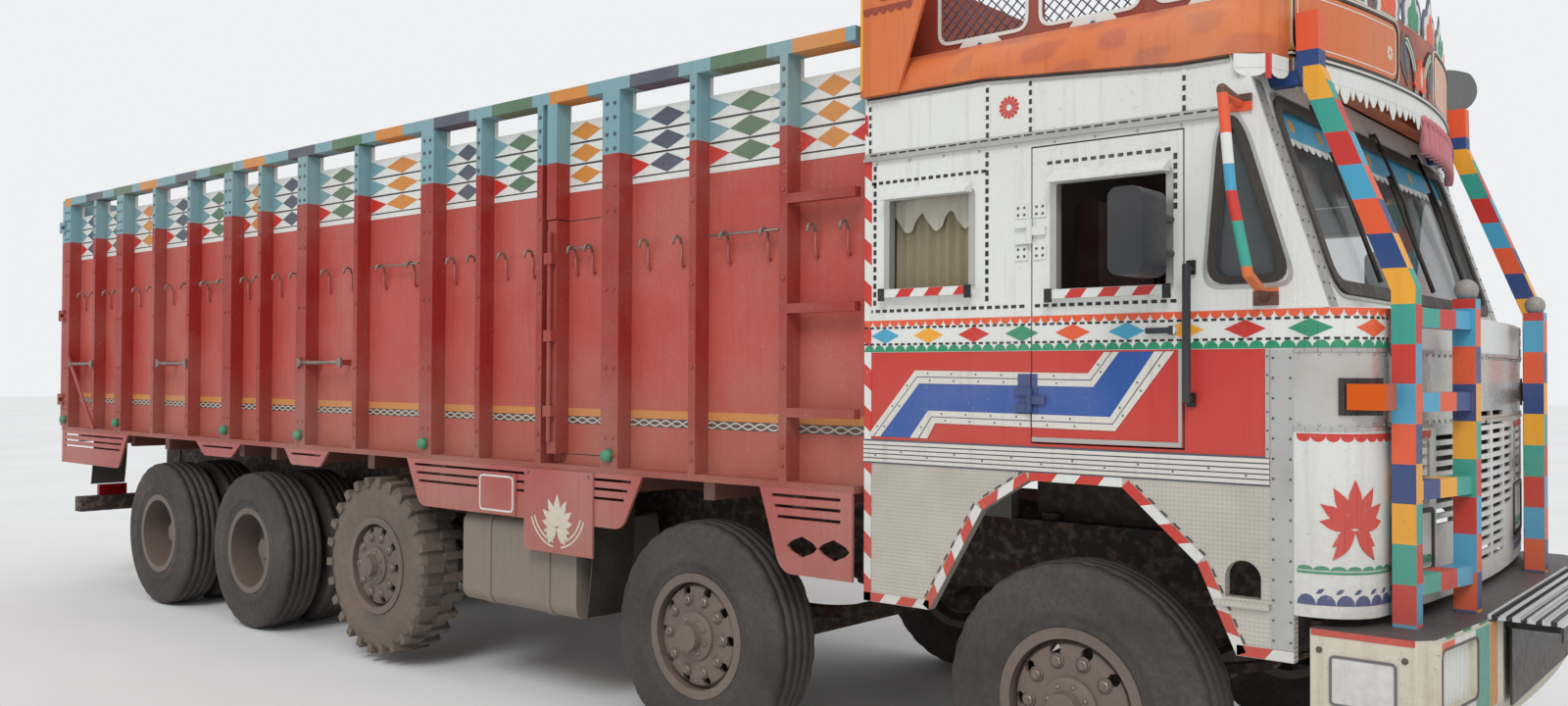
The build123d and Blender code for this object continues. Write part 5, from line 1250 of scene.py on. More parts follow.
class TRUCK_OT_cab_belt(bpy.types.Operator):
    """Paints the belt of diamonds and scallops round the cab."""

    bl_idname = "truck.cab_belt"
    bl_label = "Cab Belt"

    def dress(self, pieces, side):
        """One side of the cab."""
        wall, lift = cab_wall(side), sizes().paint_lift
        end = wall.where(1.0)
        wall.lay(pieces, rectangle(CAB_REAR, end, *BELT), "white", lift)
        wall.fill(pieces, scallops(CAB_REAR, end, 1.928, 0.042, 0.026), "orange_red", lift * 2)
        wall.fill(pieces, scallops(CAB_REAR, end, 1.802, 0.050, -0.026), "green", lift * 2)
        pitch = sizes().belt_diamond
        count = round((end - CAB_REAR) / pitch)
        step = (end - CAB_REAR) / count
        for n in range(count):
            middle = CAB_REAR + (n + 0.5) * step
            key = BELT_COLOURS[n % len(BELT_COLOURS)]
            wall.lay(pieces, diamond(middle, 1.866, step * 0.33, 0.030), key, lift * 2)
        for height in (1.832, 1.898):
            blocks = dashes(CAB_REAR, end, height - 0.004, height + 0.004, 0.03, 0.6)
            wall.fill(pieces, blocks, "black", lift * 2)

    def execute(self, context):
        cab_pair(self.dress, "cab_belt")
        return {"FINISHED"}


class TRUCK_OT_cab_panel(bpy.types.Operator):
    """Lays the bent blue stripe in its double riveted frame, and the ribbed trim under it."""

    bl_idname = "truck.cab_panel"
    bl_label = "Cab Panel"

    upper = ((-0.840, 1.462), (-0.651, 1.677), (0.094, 1.670), (0.193, 1.794))
    lower = ((-0.695, 1.462), (-0.609, 1.571), (0.159, 1.565), (0.322, 1.794))
    upper_frame = ((-0.905, 1.462), (-0.671, 1.728), (0.074, 1.718), (0.136, 1.794))
    lower_frame = ((-0.612, 1.462), (-0.576, 1.523), (0.178, 1.516), (0.394, 1.794))

    def frame(self, pieces, wall, near, far):
        """Two flat ribs between the stripe's edge and the frame's edge, with their rivets."""
        for low, high, key, lift in ((0.0, 1.0, "slate", 0.002), (0.0, 0.46, "bright_trim", 0.003),
                                     (0.54, 1.0, "bright_trim", 0.003)):
            lines = [[tuple(a + (b - a) * share for a, b in zip(*ends)) for ends in zip(near, far)]
                     for share in (low, high)]
            for n in range(len(near) - 1):
                outline = [lines[0][n], lines[0][n + 1], lines[1][n + 1], lines[1][n]]
                wall.lay(pieces, outline, key, lift)
                if key == "slate":
                    continue
                first, last = ([(p + q) / 2 for p, q in zip(lines[0][m], lines[1][m])] for m in (n, n + 1))
                run = math.dist(first, last)
                for k in range(int(run / 0.11)):
                    share = (k + 0.5) * 0.11 / run
                    self.rivet(pieces, wall, *(p + (q - p) * share for p, q in zip(first, last)))

    def dress(self, pieces, side):
        """One side of the cab."""
        wall, lift = cab_wall(side), sizes().paint_lift
        for n in range(3):
            outline = [self.upper[n], self.lower[n], self.lower[n + 1], self.upper[n + 1]]
            wall.lay(pieces, outline, "stripe_blue", lift)
        self.frame(pieces, wall, self.upper, self.upper_frame)
        self.frame(pieces, wall, self.lower, self.lower_frame)
        wall.lay(pieces, rectangle(-0.210, -0.128, 1.568, 1.716), "navy", 0.004)
        for n in range(5):
            low = 1.360 + n * 0.0175
            outline = rectangle(CAB_REAR, CAB_FRONT - 0.075, low, low + 0.013)
            wall.lay(pieces[0], outline, "bright_trim", 0.007)
        wall.lay(pieces[0], rectangle(CAB_REAR, CAB_FRONT - 0.075, 1.354, 1.450), "slate", 0.003)
        for n in range(13):
            place = wall.at(CAB_REAR + 0.06 + n * 0.125, 1.404 if n % 2 else 1.386, 0.007)
            pieces[0].dome(*place, 0.004, 0.003, "slate", 6)

    def execute(self, context):
        cab_pair(self.dress, "cab_panel")
        return {"FINISHED"}

    def rivet(self, pieces, wall, x, z):
        rear, front, bottom, top = CAB_DOOR
        on_door = rear < x < front and bottom < z < top
        near = min(abs(x - rear), abs(x - front), abs(z - bottom))
        if near > 0.012:
            pieces[1 if on_door else 0].dome(*wall.at(x, z, 0.003), 0.004, 0.003, "slate", 6)


ARCH = ((-0.603, 0.795), (-0.365, 1.201), (-0.164, 1.324), (0.203, 1.321), (0.474, 1.082), (0.606, 0.795))


class TRUCK_OT_striped_edges(bpy.types.Operator):
    """Edges the cab's rear, foot and wheel arch with slanted red and white blocks."""

    bl_idname = "truck.striped_edges"
    bl_label = "Striped Edges"

    def dress(self, pieces, side):
        """One side of the cab."""
        width = sizes().edge_stripe
        lift = sizes().paint_lift
        rear, foot, top = CAB_REAR + width, 0.797, 2.832
        runs = [((rear, foot), (rear, top)), ((CAB_REAR, foot), (ARCH[0][0], foot)),
                ((ARCH[-1][0], foot), (CAB_FRONT, foot))]
        arch_runs = list(zip(ARCH, ARCH[1:]))
        wall = cab_wall(side)
        for start, end in runs + arch_runs:
            for n, outline in slanted_band(start, end, width, 0.085):
                wall.lay(pieces[0], outline, "white" if n % 2 else "signal_red", lift * 1.6)
        for start, end in arch_runs:
            for n, outline in slanted_band(start, end, 0.006, 0.03, width + 0.004):
                if n % 2:
                    wall.lay(pieces[0], outline, "black", lift * 1.6)

    def execute(self, context):
        cab_pair(self.dress, "striped_edges")
        return {"FINISHED"}


def rounded(polygon, radius, steps=5):
    """An outline with its corners rounded."""
    points = []
    for before, corner, after in zip(polygon[-1:] + polygon[:-1], polygon, polygon[1:] + polygon[:1]):
        ends = []
        for other in (before, after):
            share = min(0.5, radius / math.dist(corner, other))
            ends.append([c + (o - c) * share for c, o in zip(corner, other)])
        for k in range(steps + 1):
            t = k / steps
            points.append(tuple((1 - t) ** 2 * a + 2 * t * (1 - t) * c + t * t * b
                                for a, c, b in zip(ends[0], corner, ends[1])))
    return points


def grown(polygon, reach):
    """A convex outline with each of its edges moved out."""
    turn = 1 if sum(a[0] * b[1] - b[0] * a[1] for a, b in zip(polygon, polygon[1:] + polygon[:1])) > 0 else -1
    corners = []
    for before, corner, after in zip(polygon[-1:] + polygon[:-1], polygon, polygon[1:] + polygon[:1]):
        first = Vector((corner[0] - before[0], corner[1] - before[1])).normalized()
        second = Vector((after[0] - corner[0], after[1] - corner[1])).normalized()
        out = Vector((first.y + second.y, -first.x - second.x)) * turn
        out = out.normalized()
        share = max(0.35, out.dot(Vector((first.y, -first.x)) * turn))
        corners.append((corner[0] + out.x * reach / share, corner[1] + out.y * reach / share))
    return corners


def ring(polygon, inward, outward, radius):
    """The four-sided outlines of a frame round an outline with rounded corners."""
    inner = rounded(grown(polygon, -inward), radius)
    outer = rounded(grown(polygon, outward), radius + inward + outward)
    for n, corner in enumerate(inner):
        m = (n + 1) % len(inner)
        yield [corner, inner[m], outer[m], outer[n]]


def leaf(middle, foot, angle, reach, width):
    """A pointed leaf that grows from a foot at an angle from upright."""
    across, up = math.cos(angle), math.sin(angle)
    outline = [(0, 0), (0.30, 0.42), (0.5, 0.55), (0.72, 0.42), (1, 0)]
    outline += [(share, -half) for share, half in outline[3:0:-1]]
    return [(middle + up * a * reach + across * b * width, foot + across * a * reach - up * b * width)
            for a, b in outline]


def lotus(middle, foot, reach):
    """The leaves of an open flower, widest first, with their share of the way up."""
    for angle, share in ((80, 0.74), (55, 0.86), (28, 0.95)):
        for turn in (-1, 1):
            yield leaf(middle, foot, math.radians(angle) * turn, reach * share, reach * 0.26)
    yield leaf(middle, foot, 0, reach, reach * 0.30)


def petals(middle, height, count, inner, outer):
    """Separate petals round a small open centre."""
    for n in range(count):
        angle = 2 * math.pi * n / count
        up, across = math.cos(angle), math.sin(angle)
        half = math.pi / count * 0.72
        yield [(middle + across * a + up * b, height + up * a - across * b)
               for a, b in ((inner, -inner * half), (outer * 0.86, -outer * half), (outer, 0),
                            (outer * 0.86, outer * half), (inner, inner * half))]


def bow(middle, height, radius, start, end, width, steps=12):
    """Four-sided outlines of a curved band; angles in degrees from the level."""
    angles = [math.radians(start + (end - start) * n / steps) for n in range(steps + 1)]
    for a, b in zip(angles, angles[1:]):
        yield [(middle + r * math.cos(t), height + r * math.sin(t))
               for r, t in ((radius, a), (radius, b), (radius + width, b), (radius + width, a))]


REAR_WINDOW = ((-0.80, 2.05), (-0.42, 2.05), (-0.42, 2.41), (-0.80, 2.41))
DOOR_WINDOW = ((-0.055, 2.02), (0.37, 2.02), (0.37, 2.41), (-0.055, 2.41))
QUARTER = ((0.522, 2.03), (0.767, 2.03), (0.620, 2.520), (0.590, 2.56), (0.563, 2.52))
SILL_OUT = 1.254
SILL_DEEP = 0.032


class TRUCK_OT_window_trims(bpy.types.Operator):
    """Fits the striped sills, the dashed strips and the rubber round the windows."""

    bl_idname = "truck.window_trims"
    bl_label = "Window Trims"

    def sill(self, piece, side, opening):
        """Red and white blocks on a window's sill, with a dark end on both sides."""
        face = Wall([(CAB_REAR, SILL_OUT), (CAB_FRONT, SILL_OUT)], CAB_REAR, side)
        (low, height), (high, _) = opening[0], opening[1]
        low, high, foot = low - 0.012, high + 0.012, height - SILL_DEEP
        for n, outline in slanted_band((low, foot), (high, foot), SILL_DEEP, 0.068):
            face.lay(piece, outline, "signal_red" if n % 2 else "white", 0.002)
        for end in (low, high):
            block = rectangle(end - 0.014, end + 0.014, height - 0.046, height + 0.004)
            face.lay(piece, block, "black", 0.008)

    def dress(self, pieces, side):
        """One side of the cab."""
        cab, door = pieces
        wall, lift = cab_wall(side), sizes().paint_lift
        self.sill(cab, side, REAR_WINDOW)
        self.sill(door, side, DOOR_WINDOW)
        for opening in (REAR_WINDOW, DOOR_WINDOW):
            wall.fill(pieces, ring(list(opening), 0.004, 0.022, 0.01), "aluminium", 0.004)
        pitch = sizes().dash_pitch
        level = ((-0.885, -0.335, 2.484), (-0.09, 0.395, 2.486), (-0.90, -0.17, 1.966), (-0.14, 0.415, 1.966))
        for low, high, height in level:
            wall.fill(pieces, dashes(low, high, height - 0.006, height + 0.006, pitch, 0.6), "black", lift)
        for x, low, high in ((-0.870, 1.99, 2.56), (-0.345, 1.99, 2.56), (0.398, 2.28, 2.486)):
            for n in range(round((high - low) / pitch)):
                z = low + n * pitch
                wall.lay(pieces, rectangle(x - 0.007, x + 0.007, z, z + pitch * 0.6), "black", lift)
        wall.fill(cab, ring(list(QUARTER), 0.012, 0.016, 0.05), "rubber", 0.007)
        wall.fill(cab, ring(grown(list(QUARTER), 0.018), 0.0, 0.012, 0.06), "aluminium", 0.004)

    def execute(self, context):
        cab_pair(self.dress, "window_trims")
        return {"FINISHED"}


class TRUCK_OT_curtains(bpy.types.Operator):
    """Hangs a gathered curtain and its lace behind the rear windows of the cab."""

    bl_idname = "truck.curtains"
    bl_label = "Curtains"

    top, foot = 2.425, 2.035
    rear, front = -0.815, -0.405
    columns, rows = 96, 14
    fold = 0.011

    def level(self, share):
        """The curtain's foot."""
        return self.foot

    def dips(self, share):
        """The lace's foot, which hangs in three bows."""
        return self.top - 0.07 - 0.075 * abs(math.sin(share * math.pi * 3)) ** 1.5

    def cloth(self, name, key, side, y, foot_at, depth):
        """Folded cloth in a window: the object, and the length of its line across."""
        mesh = bmesh.new()
        grid, run = [], 0.0
        for c in range(self.columns + 1):
            share = c / self.columns
            x = self.rear + (self.front - self.rear) * share
            sway = math.sin(share * math.pi * 17) + 0.35 * math.sin(share * math.pi * 7.3)
            place = y + depth * sway
            if grid:
                run += math.hypot(x - before[0], place - before[1])
            before = (x, place)
            drop = foot_at(share) - self.top
            grid.append([mesh.verts.new((x + AXLE, side * (y + depth * sway * (0.45 + 0.55 * r / self.rows)),
                                         self.top + drop * r / self.rows)) for r in range(self.rows + 1)])
        for a, b in zip(grid, grid[1:]):
            for r in range(self.rows):
                mesh.faces.new((a[r], b[r], b[r + 1], a[r + 1])).smooth = True
        curtain = made_object(name, mesh, finish_of(key))
        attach(curtain, "truck")
        return curtain, run

    def execute(self, context):
        for side_name, side in SIDES.items():
            for key, y, foot_at, folds in (("curtain", 1.150, self.level, 1.0), ("lace", 1.166, self.dips, 0.35)):
                piece, run = self.cloth(f"{key}_{side_name}", key, side, y, foot_at, self.fold * folds)
                area = sum(face.area for face in piece.data.polygons)
                height = self.top - min(foot_at(n / 60) for n in range(61))
                max(run, area / height * 1.002)
        return {"FINISHED"}


class TRUCK_OT_cab_top_trims(bpy.types.Operator):
    """Fits the gutter and the framed white panels over the windows, with a painted flower between them."""

    bl_idname = "truck.cab_top_trims"
    bl_label = "Cab Top Trims"

    gutter = 2.588
    uprights = (-0.893, -0.342, -0.158, 0.430)
    flower = (-0.250, 2.712)

    def eave(self, x):
        """The height of the eave's lower edge at a place along the cab."""
        share = min(1, max(0, (x + 0.36) / 0.77))
        return 2.835 - 0.060 * share

    def dress(self, pieces, side):
        """One side of the cab."""
        lift, pitch = sizes().paint_lift, sizes().dash_pitch
        wall, cab = cab_wall(side), pieces[0]
        wall.lay(cab, rectangle(CAB_REAR, 0.57, self.gutter - 0.014, self.gutter - 0.002), "aluminium", 0.016)
        wall.lay(cab, rectangle(CAB_REAR, 0.57, self.gutter, self.gutter + 0.020), "aluminium", 0.005)
        blocks = dashes(CAB_REAR + 0.03, 0.57, self.gutter + 0.007, self.gutter + 0.013, pitch * 1.4, 0.7)
        wall.fill(cab, blocks, "black", 0.006)
        for x in self.uprights:
            low, high = self.gutter + 0.022, self.eave(x) - 0.012
            wall.lay(cab, rectangle(x - 0.010, x + 0.010, low, high), "white", lift * 2)
            for n in range(round((high - low) / pitch)):
                z = low + n * pitch
                wall.lay(cab, rectangle(x - 0.006, x + 0.006, z, z + pitch * 0.55), "black", lift * 3)
        middle, height = self.flower
        wall.fill(cab, petals(middle, height, 14, 0.012, 0.044), "signal_red", lift)
        # The thin black line just under the eave's lower edge is a painted shadow of the eave; the aluminium
        # strip lies below it.
        for a, b in ((CAB_REAR + 0.01, -0.36), (-0.36, 0.41), (0.41, 0.585)):
            edge = [(a, self.eave(a) - 0.010), (b, self.eave(b) - 0.010), (b, self.eave(b) - 0.002),
                    (a, self.eave(a) - 0.002)]
            wall.lay(cab, edge, "black", 0.004)
            strip = [(x, z - 0.012) for x, z in edge]
            wall.lay(cab, strip, "aluminium", 0.006)
        for n in range(10):
            place = wall.at(-0.86 + n * 0.16, self.gutter - 0.026, 0.0)
            cab.dome(*place, sizes().rivet_radius, 0.004, "aluminium", 6)

    def execute(self, context):
        cab_pair(self.dress, "cab_top_trims")
        return {"FINISHED"}


class TRUCK_OT_door_fittings(bpy.types.Operator):
    """Fits the hinge bolts, the strap over the seam and the strip under the door."""

    bl_idname = "truck.door_fittings"
    bl_label = "Door Fittings"

    def dress(self, pieces, side):
        """One side of the cab."""
        cab, door = pieces
        wall = cab_wall(side)
        for low, high, piece in ((-0.222, -0.168, cab), (-0.146, -0.092, door)):
            wall.lay(piece, rectangle(low, high, 2.290, 2.345), "white", 0.005)
            wall.lay(piece, rectangle(low, high, 2.135, 2.190), "white", 0.005)
            for x in (low + 0.014, high - 0.014):
                for z in (2.150, 2.176, 2.304, 2.330):
                    piece.dome(*wall.at(x, z, 0.005), 0.006, 0.004, "slate", 6)
        wall.lay(door, rectangle(-0.149, 0.421, 1.468, 1.484), "aluminium", 0.006)
        wall.lay(door, rectangle(0.409, 0.421, 1.484, 1.800), "aluminium", 0.004)
        wall.lay(cab, rectangle(0.702, 0.716, 1.447, 1.800), "aluminium", 0.005)
        for n in range(6):
            cab.dome(*wall.at(0.709, 1.475 + n * 0.06, 0.005), 0.004, 0.003, "slate", 6)
        wall.lay(cab, rectangle(0.440, 0.470, 2.052, 2.100), "black", 0.012)
        wall.lay(cab, rectangle(0.440, 0.470, 1.606, 1.654), "black", 0.012)

    def execute(self, context):
        cab_pair(self.dress, "door_fittings")
        return {"FINISHED"}


# Cowl, windscreen and crown


class TRUCK_OT_cowl_dress(bpy.types.Operator):
    """Dresses the cowl: riveted strips, chrome band, painted borders and lamp bezels."""

    bl_idname = "truck.cowl_dress"
    bl_label = "Cowl Dress"

    def rivets(self, piece, wall, low, high, height, pitch=0.06):
        for n in range(int((high - low) / pitch) + 1):
            piece.dome(*wall.at(low + n * pitch, height, 0.0), sizes().rivet_radius, 0.005, "aluminium", 6)

    def dress(self, side, strips, paint):
        """One side of the truck."""
        lift = sizes().paint_lift
        wall = cab_wall(side)
        corner = wall.where(1.02)
        wall.lay(strips, rectangle(0.718, 0.789, 0.835, 1.796), "aluminium", 0.003)
        radius = sizes().rivet_radius * 0.8
        for x in (0.726, 0.781):
            for n in range(15):
                strips.dome(*wall.at(x, 0.86 + n * 0.065, 0.003), radius, 0.004, "slate", 6)
        nose = wall.where(0.02)
        for height in (CHROME_Z[0] + 0.014, CHROME_Z[1] - 0.012):
            self.rivets(strips, wall, 0.81, nose, height)
        for height in CHROME_Z:
            wall.lay(strips, rectangle(0.792, nose, height - 0.006, height + 0.006), "aluminium", 0.006)
        wall.lay(strips, rectangle(wall.where(1.195), wall.where(1.062), 1.588, 1.706), "black", 0.008)
        low, high = 0.800, wall.where(0.655)
        wall.fill(paint, scallops(low, high, 1.522, 0.045, 0.018), "signal_red", lift)
        wall.lay(paint, rectangle(low, high, 1.522, 1.530), "signal_red", lift)
        wall.lay(paint, rectangle(low, high, 1.088, 1.096), "green", lift)
        wall.fill(paint, scallops(low, high, 1.100, 0.05, -0.014), "green", lift)
        wall.fill(paint, scallops(low, high, 0.990, 0.058, -0.034), "navy", lift)
        for n in range(int((high - low) / 0.058)):
            wall.lay(paint, leaf(low + (n + 1) * 0.058, 1.026, 1.0, 0.03, 0.012), "navy", lift)
        middle = (low + corner) / 2 + 0.01
        wall.stack(paint, lotus(middle, 1.235, 0.150), "signal_red", lift)
        for turn in (-1, 1):
            sprays = [leaf(middle, 1.225, turn * (1.85 + 0.32 * k), 0.115 * share, 0.030)
                      for k, share in enumerate((0.5, 0.75, 1.0))]
            wall.stack(paint, sprays, "signal_red", lift * 3)
        lamp = rectangle(wall.where(0.975), wall.where(0.655), 1.070, 1.255)
        wall.fill(strips, ring(lamp, 0.0, 0.016, 0.012), "black", 0.007)
        vents = rectangle(wall.where(0.965), wall.where(0.690), 1.288, 1.496)
        wall.fill(strips, ring(vents, 0.0, 0.010, 0.01), "aluminium", 0.005)

    def execute(self, context):
        both_sides(self.dress, cowl_strips="cab_front", cowl_paint="cab_front")
        return {"FINISHED"}


SCREEN_RISE = 0.952
SCREEN_FOOT = 1.930


class TRUCK_OT_windscreen_dress(bpy.types.Operator):
    """Seals the windscreen and fits its sun band, pillar strips and hanging wipers."""

    bl_idname = "truck.windscreen_dress"
    bl_label = "Windscreen Dress"

    half = 1.08
    heights = (2.0, 2.64)
    glass_set = -0.0150

    def execute(self, context):
        board = Board((0.898, 0, SCREEN_FOOT), (0, 1, 0), (-0.248, 0, 0.770))
        rise = [(z - SCREEN_FOOT) / SCREEN_RISE for z in self.heights]
        seal, strips, band, wipers = Piece(), Piece(), Piece(), Piece()
        opening = rectangle(-self.half, self.half, *rise)
        board.fill(seal, ring(opening, 0.026, 0.020, 0.075), "rubber", 0.012)
        board.fill(seal, ring(grown(opening, 0.022), 0.0, 0.012, 0.1), "aluminium", 0.005)
        for side in (-1, 1):
            low, high = sorted((side * 1.125, side * 1.205))
            board.lay(strips, rectangle(low, high, 0.0, 0.80), "aluminium", 0.004)
            radius = sizes().rivet_radius * 0.8
            for y in (side * 1.138, side * 1.192):
                for n in range(15):
                    strips.dome(*board.at(y, 0.03 + n * 0.053, 0.004), radius, 0.004, "slate", 6)
        glass = self.glass_set
        top = rise[1] - 0.012
        board.lay(band, rectangle(-1.06, 1.06, top - 0.105, top), "sky", 0.001, glass)
        board.fill(band, scallops(-1.06, 1.06, top - 0.105, 0.07, 0.030), "white", 0.001, glass)
        for n in range(7):
            middle = -0.9 + n * 0.3
            for k in range(8):
                petal = leaf(middle, top - 0.052, math.pi * k / 4, 0.030, 0.014)
                board.lay(band, petal, "amber", 0.001, glass + 0.001)
        for y in (-0.62, 0.10, 0.72):
            pivot, foot = board.at(y, rise[1] + 0.035, 0.018)[0], board.at(y + 0.05, rise[0] + 0.24, 0.012)[0]
            mount, normal = board.at(y, rise[1] + 0.035, 0.0)
            wipers.dome(mount, normal, 0.026, 0.030, "black", 12)
            wipers.tube([pivot, board.at(y + 0.03, 0.5, 0.030)[0], foot], 0.007, "black")
            blade = [board.at(y + out, height, 0.010)[0] for out, height in ((0.02, 0.62), (0.07, 0.12))]
            wipers.tube(blade, 0.010, "rubber", 6)
        seal.done("windscreen_seal", "truck", "cab_front")
        strips.done("pillar_strips", "truck", "cab_front")
        band.done("sun_band", "truck", "cab_glass")
        wipers.done("wipers", "truck", "cab_front")
        return {"FINISHED"}


CARRIER_OUT = 1.06
CARRIER_WINDOWS = ((-0.661, -0.27), (-0.202, 0.19), (0.258, 0.52))
CARRIER_HEIGHTS = (3.05, 3.28)
WING_OUT = 1.256
VISOR_Z = (2.775, 3.05)


def visor_wall(reach=0.0):
    """The visor's front face in plan, or a line set off from it."""
    return Wall(round_arc((0.715, 1.04 + reach), (0.86 + reach, 0), (0.715, -1.04 - reach), 28), 0)


class TRUCK_OT_carrier_dress(bpy.types.Operator):
    """Fits wire mesh, white outlines and brackets to the roof carrier, and paints its wings."""

    bl_idname = "truck.carrier_dress"
    bl_label = "Carrier Dress"

    def wires(self, piece, face, rear, front):
        low, high = CARRIER_HEIGHTS
        pitch = 0.046
        for lean in (-1, 1):
            start = rear - (high - low)
            for n in range(int((front - rear + 2 * (high - low)) / pitch)):
                x = start + n * pitch
                strand = [(x, low), (x + lean * (high - low), high)]
                ends = self.inside(strand, rear + 0.004, front - 0.004)
                if ends:
                    piece.tube([face.at(a, b)[0] for a, b in ends], 0.003, "slate", 5)

    def inside(self, strand, rear, front):
        """The part of a sloping line between two upright limits."""
        (ax, az), (bx, bz) = strand
        shares = sorted(((rear - ax) / (bx - ax), (front - ax) / (bx - ax)))
        first, last = max(0, shares[0]), min(1, shares[1])
        if last - first < 0.08:
            return None
        return [(ax + (bx - ax) * s, az + (bz - az) * s) for s in (first, last)]

    def dress(self, side, mesh, trim):
        """One side of the truck."""
        outer = Wall([(-0.86, CARRIER_OUT), (0.60, CARRIER_OUT)], -0.86, side)
        core = Wall([(-0.86, CARRIER_OUT - 0.012), (0.60, CARRIER_OUT - 0.012)], -0.86, side)
        for rear, front in CARRIER_WINDOWS:
            self.wires(mesh, core, rear, front)
            opening = rectangle(rear, front, *CARRIER_HEIGHTS)
            outer.fill(trim, ring(opening, 0.002, 0.012, 0.045), "white", 0.004)
        for x in (-0.586, -0.10, 0.36):
            bracket = [(x, 2.992), (x + 0.230, 2.992), (x + 0.190, 3.040), (x + 0.040, 3.040)]
            outer.lay(trim, bracket, "white", 0.010)
            trim.dome(*outer.at(x + 0.115, 3.014, 0.010), 0.012, 0.008, "slate", 6)
        outer.lay(trim, rectangle(-0.86, 0.60, 3.318, 3.332), "amber", 0.003)
        wing = Wall([(-0.92, WING_OUT), (-0.60, WING_OUT)], -0.92, side)
        wing.stack(trim, lotus(-0.775, 3.215, 0.080), "crown_red", 0.002)
        wing.lay(trim, rectangle(-0.905, -0.665, 3.180, 3.190), "crown_red", 0.002)
        wing.fill(trim, scallops(-0.905, -0.665, 3.180, 0.04, 0.022), "crown_red", 0.002)
        wing.lay(trim, rectangle(-0.918, -0.906, 2.86, 3.39), "amber", 0.003)

    def execute(self, context):
        both_sides(self.dress, carrier_mesh="roof_carrier", carrier_trim="roof_carrier")
        return {"FINISHED"}


def crest(middle, foot, width, height):
    """The outline of a lobed crest leaf standing on a foot, as convex parts."""
    half = width / 2
    yield [(middle - half, foot), (middle + half, foot), (middle + half * 0.86, foot + height * 0.30),
           (middle - half * 0.86, foot + height * 0.30)]
    for turn in (-1, 1):
        lobe = middle + turn * half * 0.52
        yield [(lobe + half * 0.50 * math.cos(a), foot + height * (0.34 + 0.30 * math.sin(a)))
               for a in (2 * math.pi * k / 12 for k in range(12))]
    yield [(middle - half * 0.5, foot + height * 0.30), (middle + half * 0.5, foot + height * 0.30),
           (middle + half * 0.42, foot + height * 0.66), (middle + half * 0.2, foot + height * 0.88),
           (middle, foot + height), (middle - half * 0.2, foot + height * 0.88),
           (middle - half * 0.42, foot + height * 0.66)]


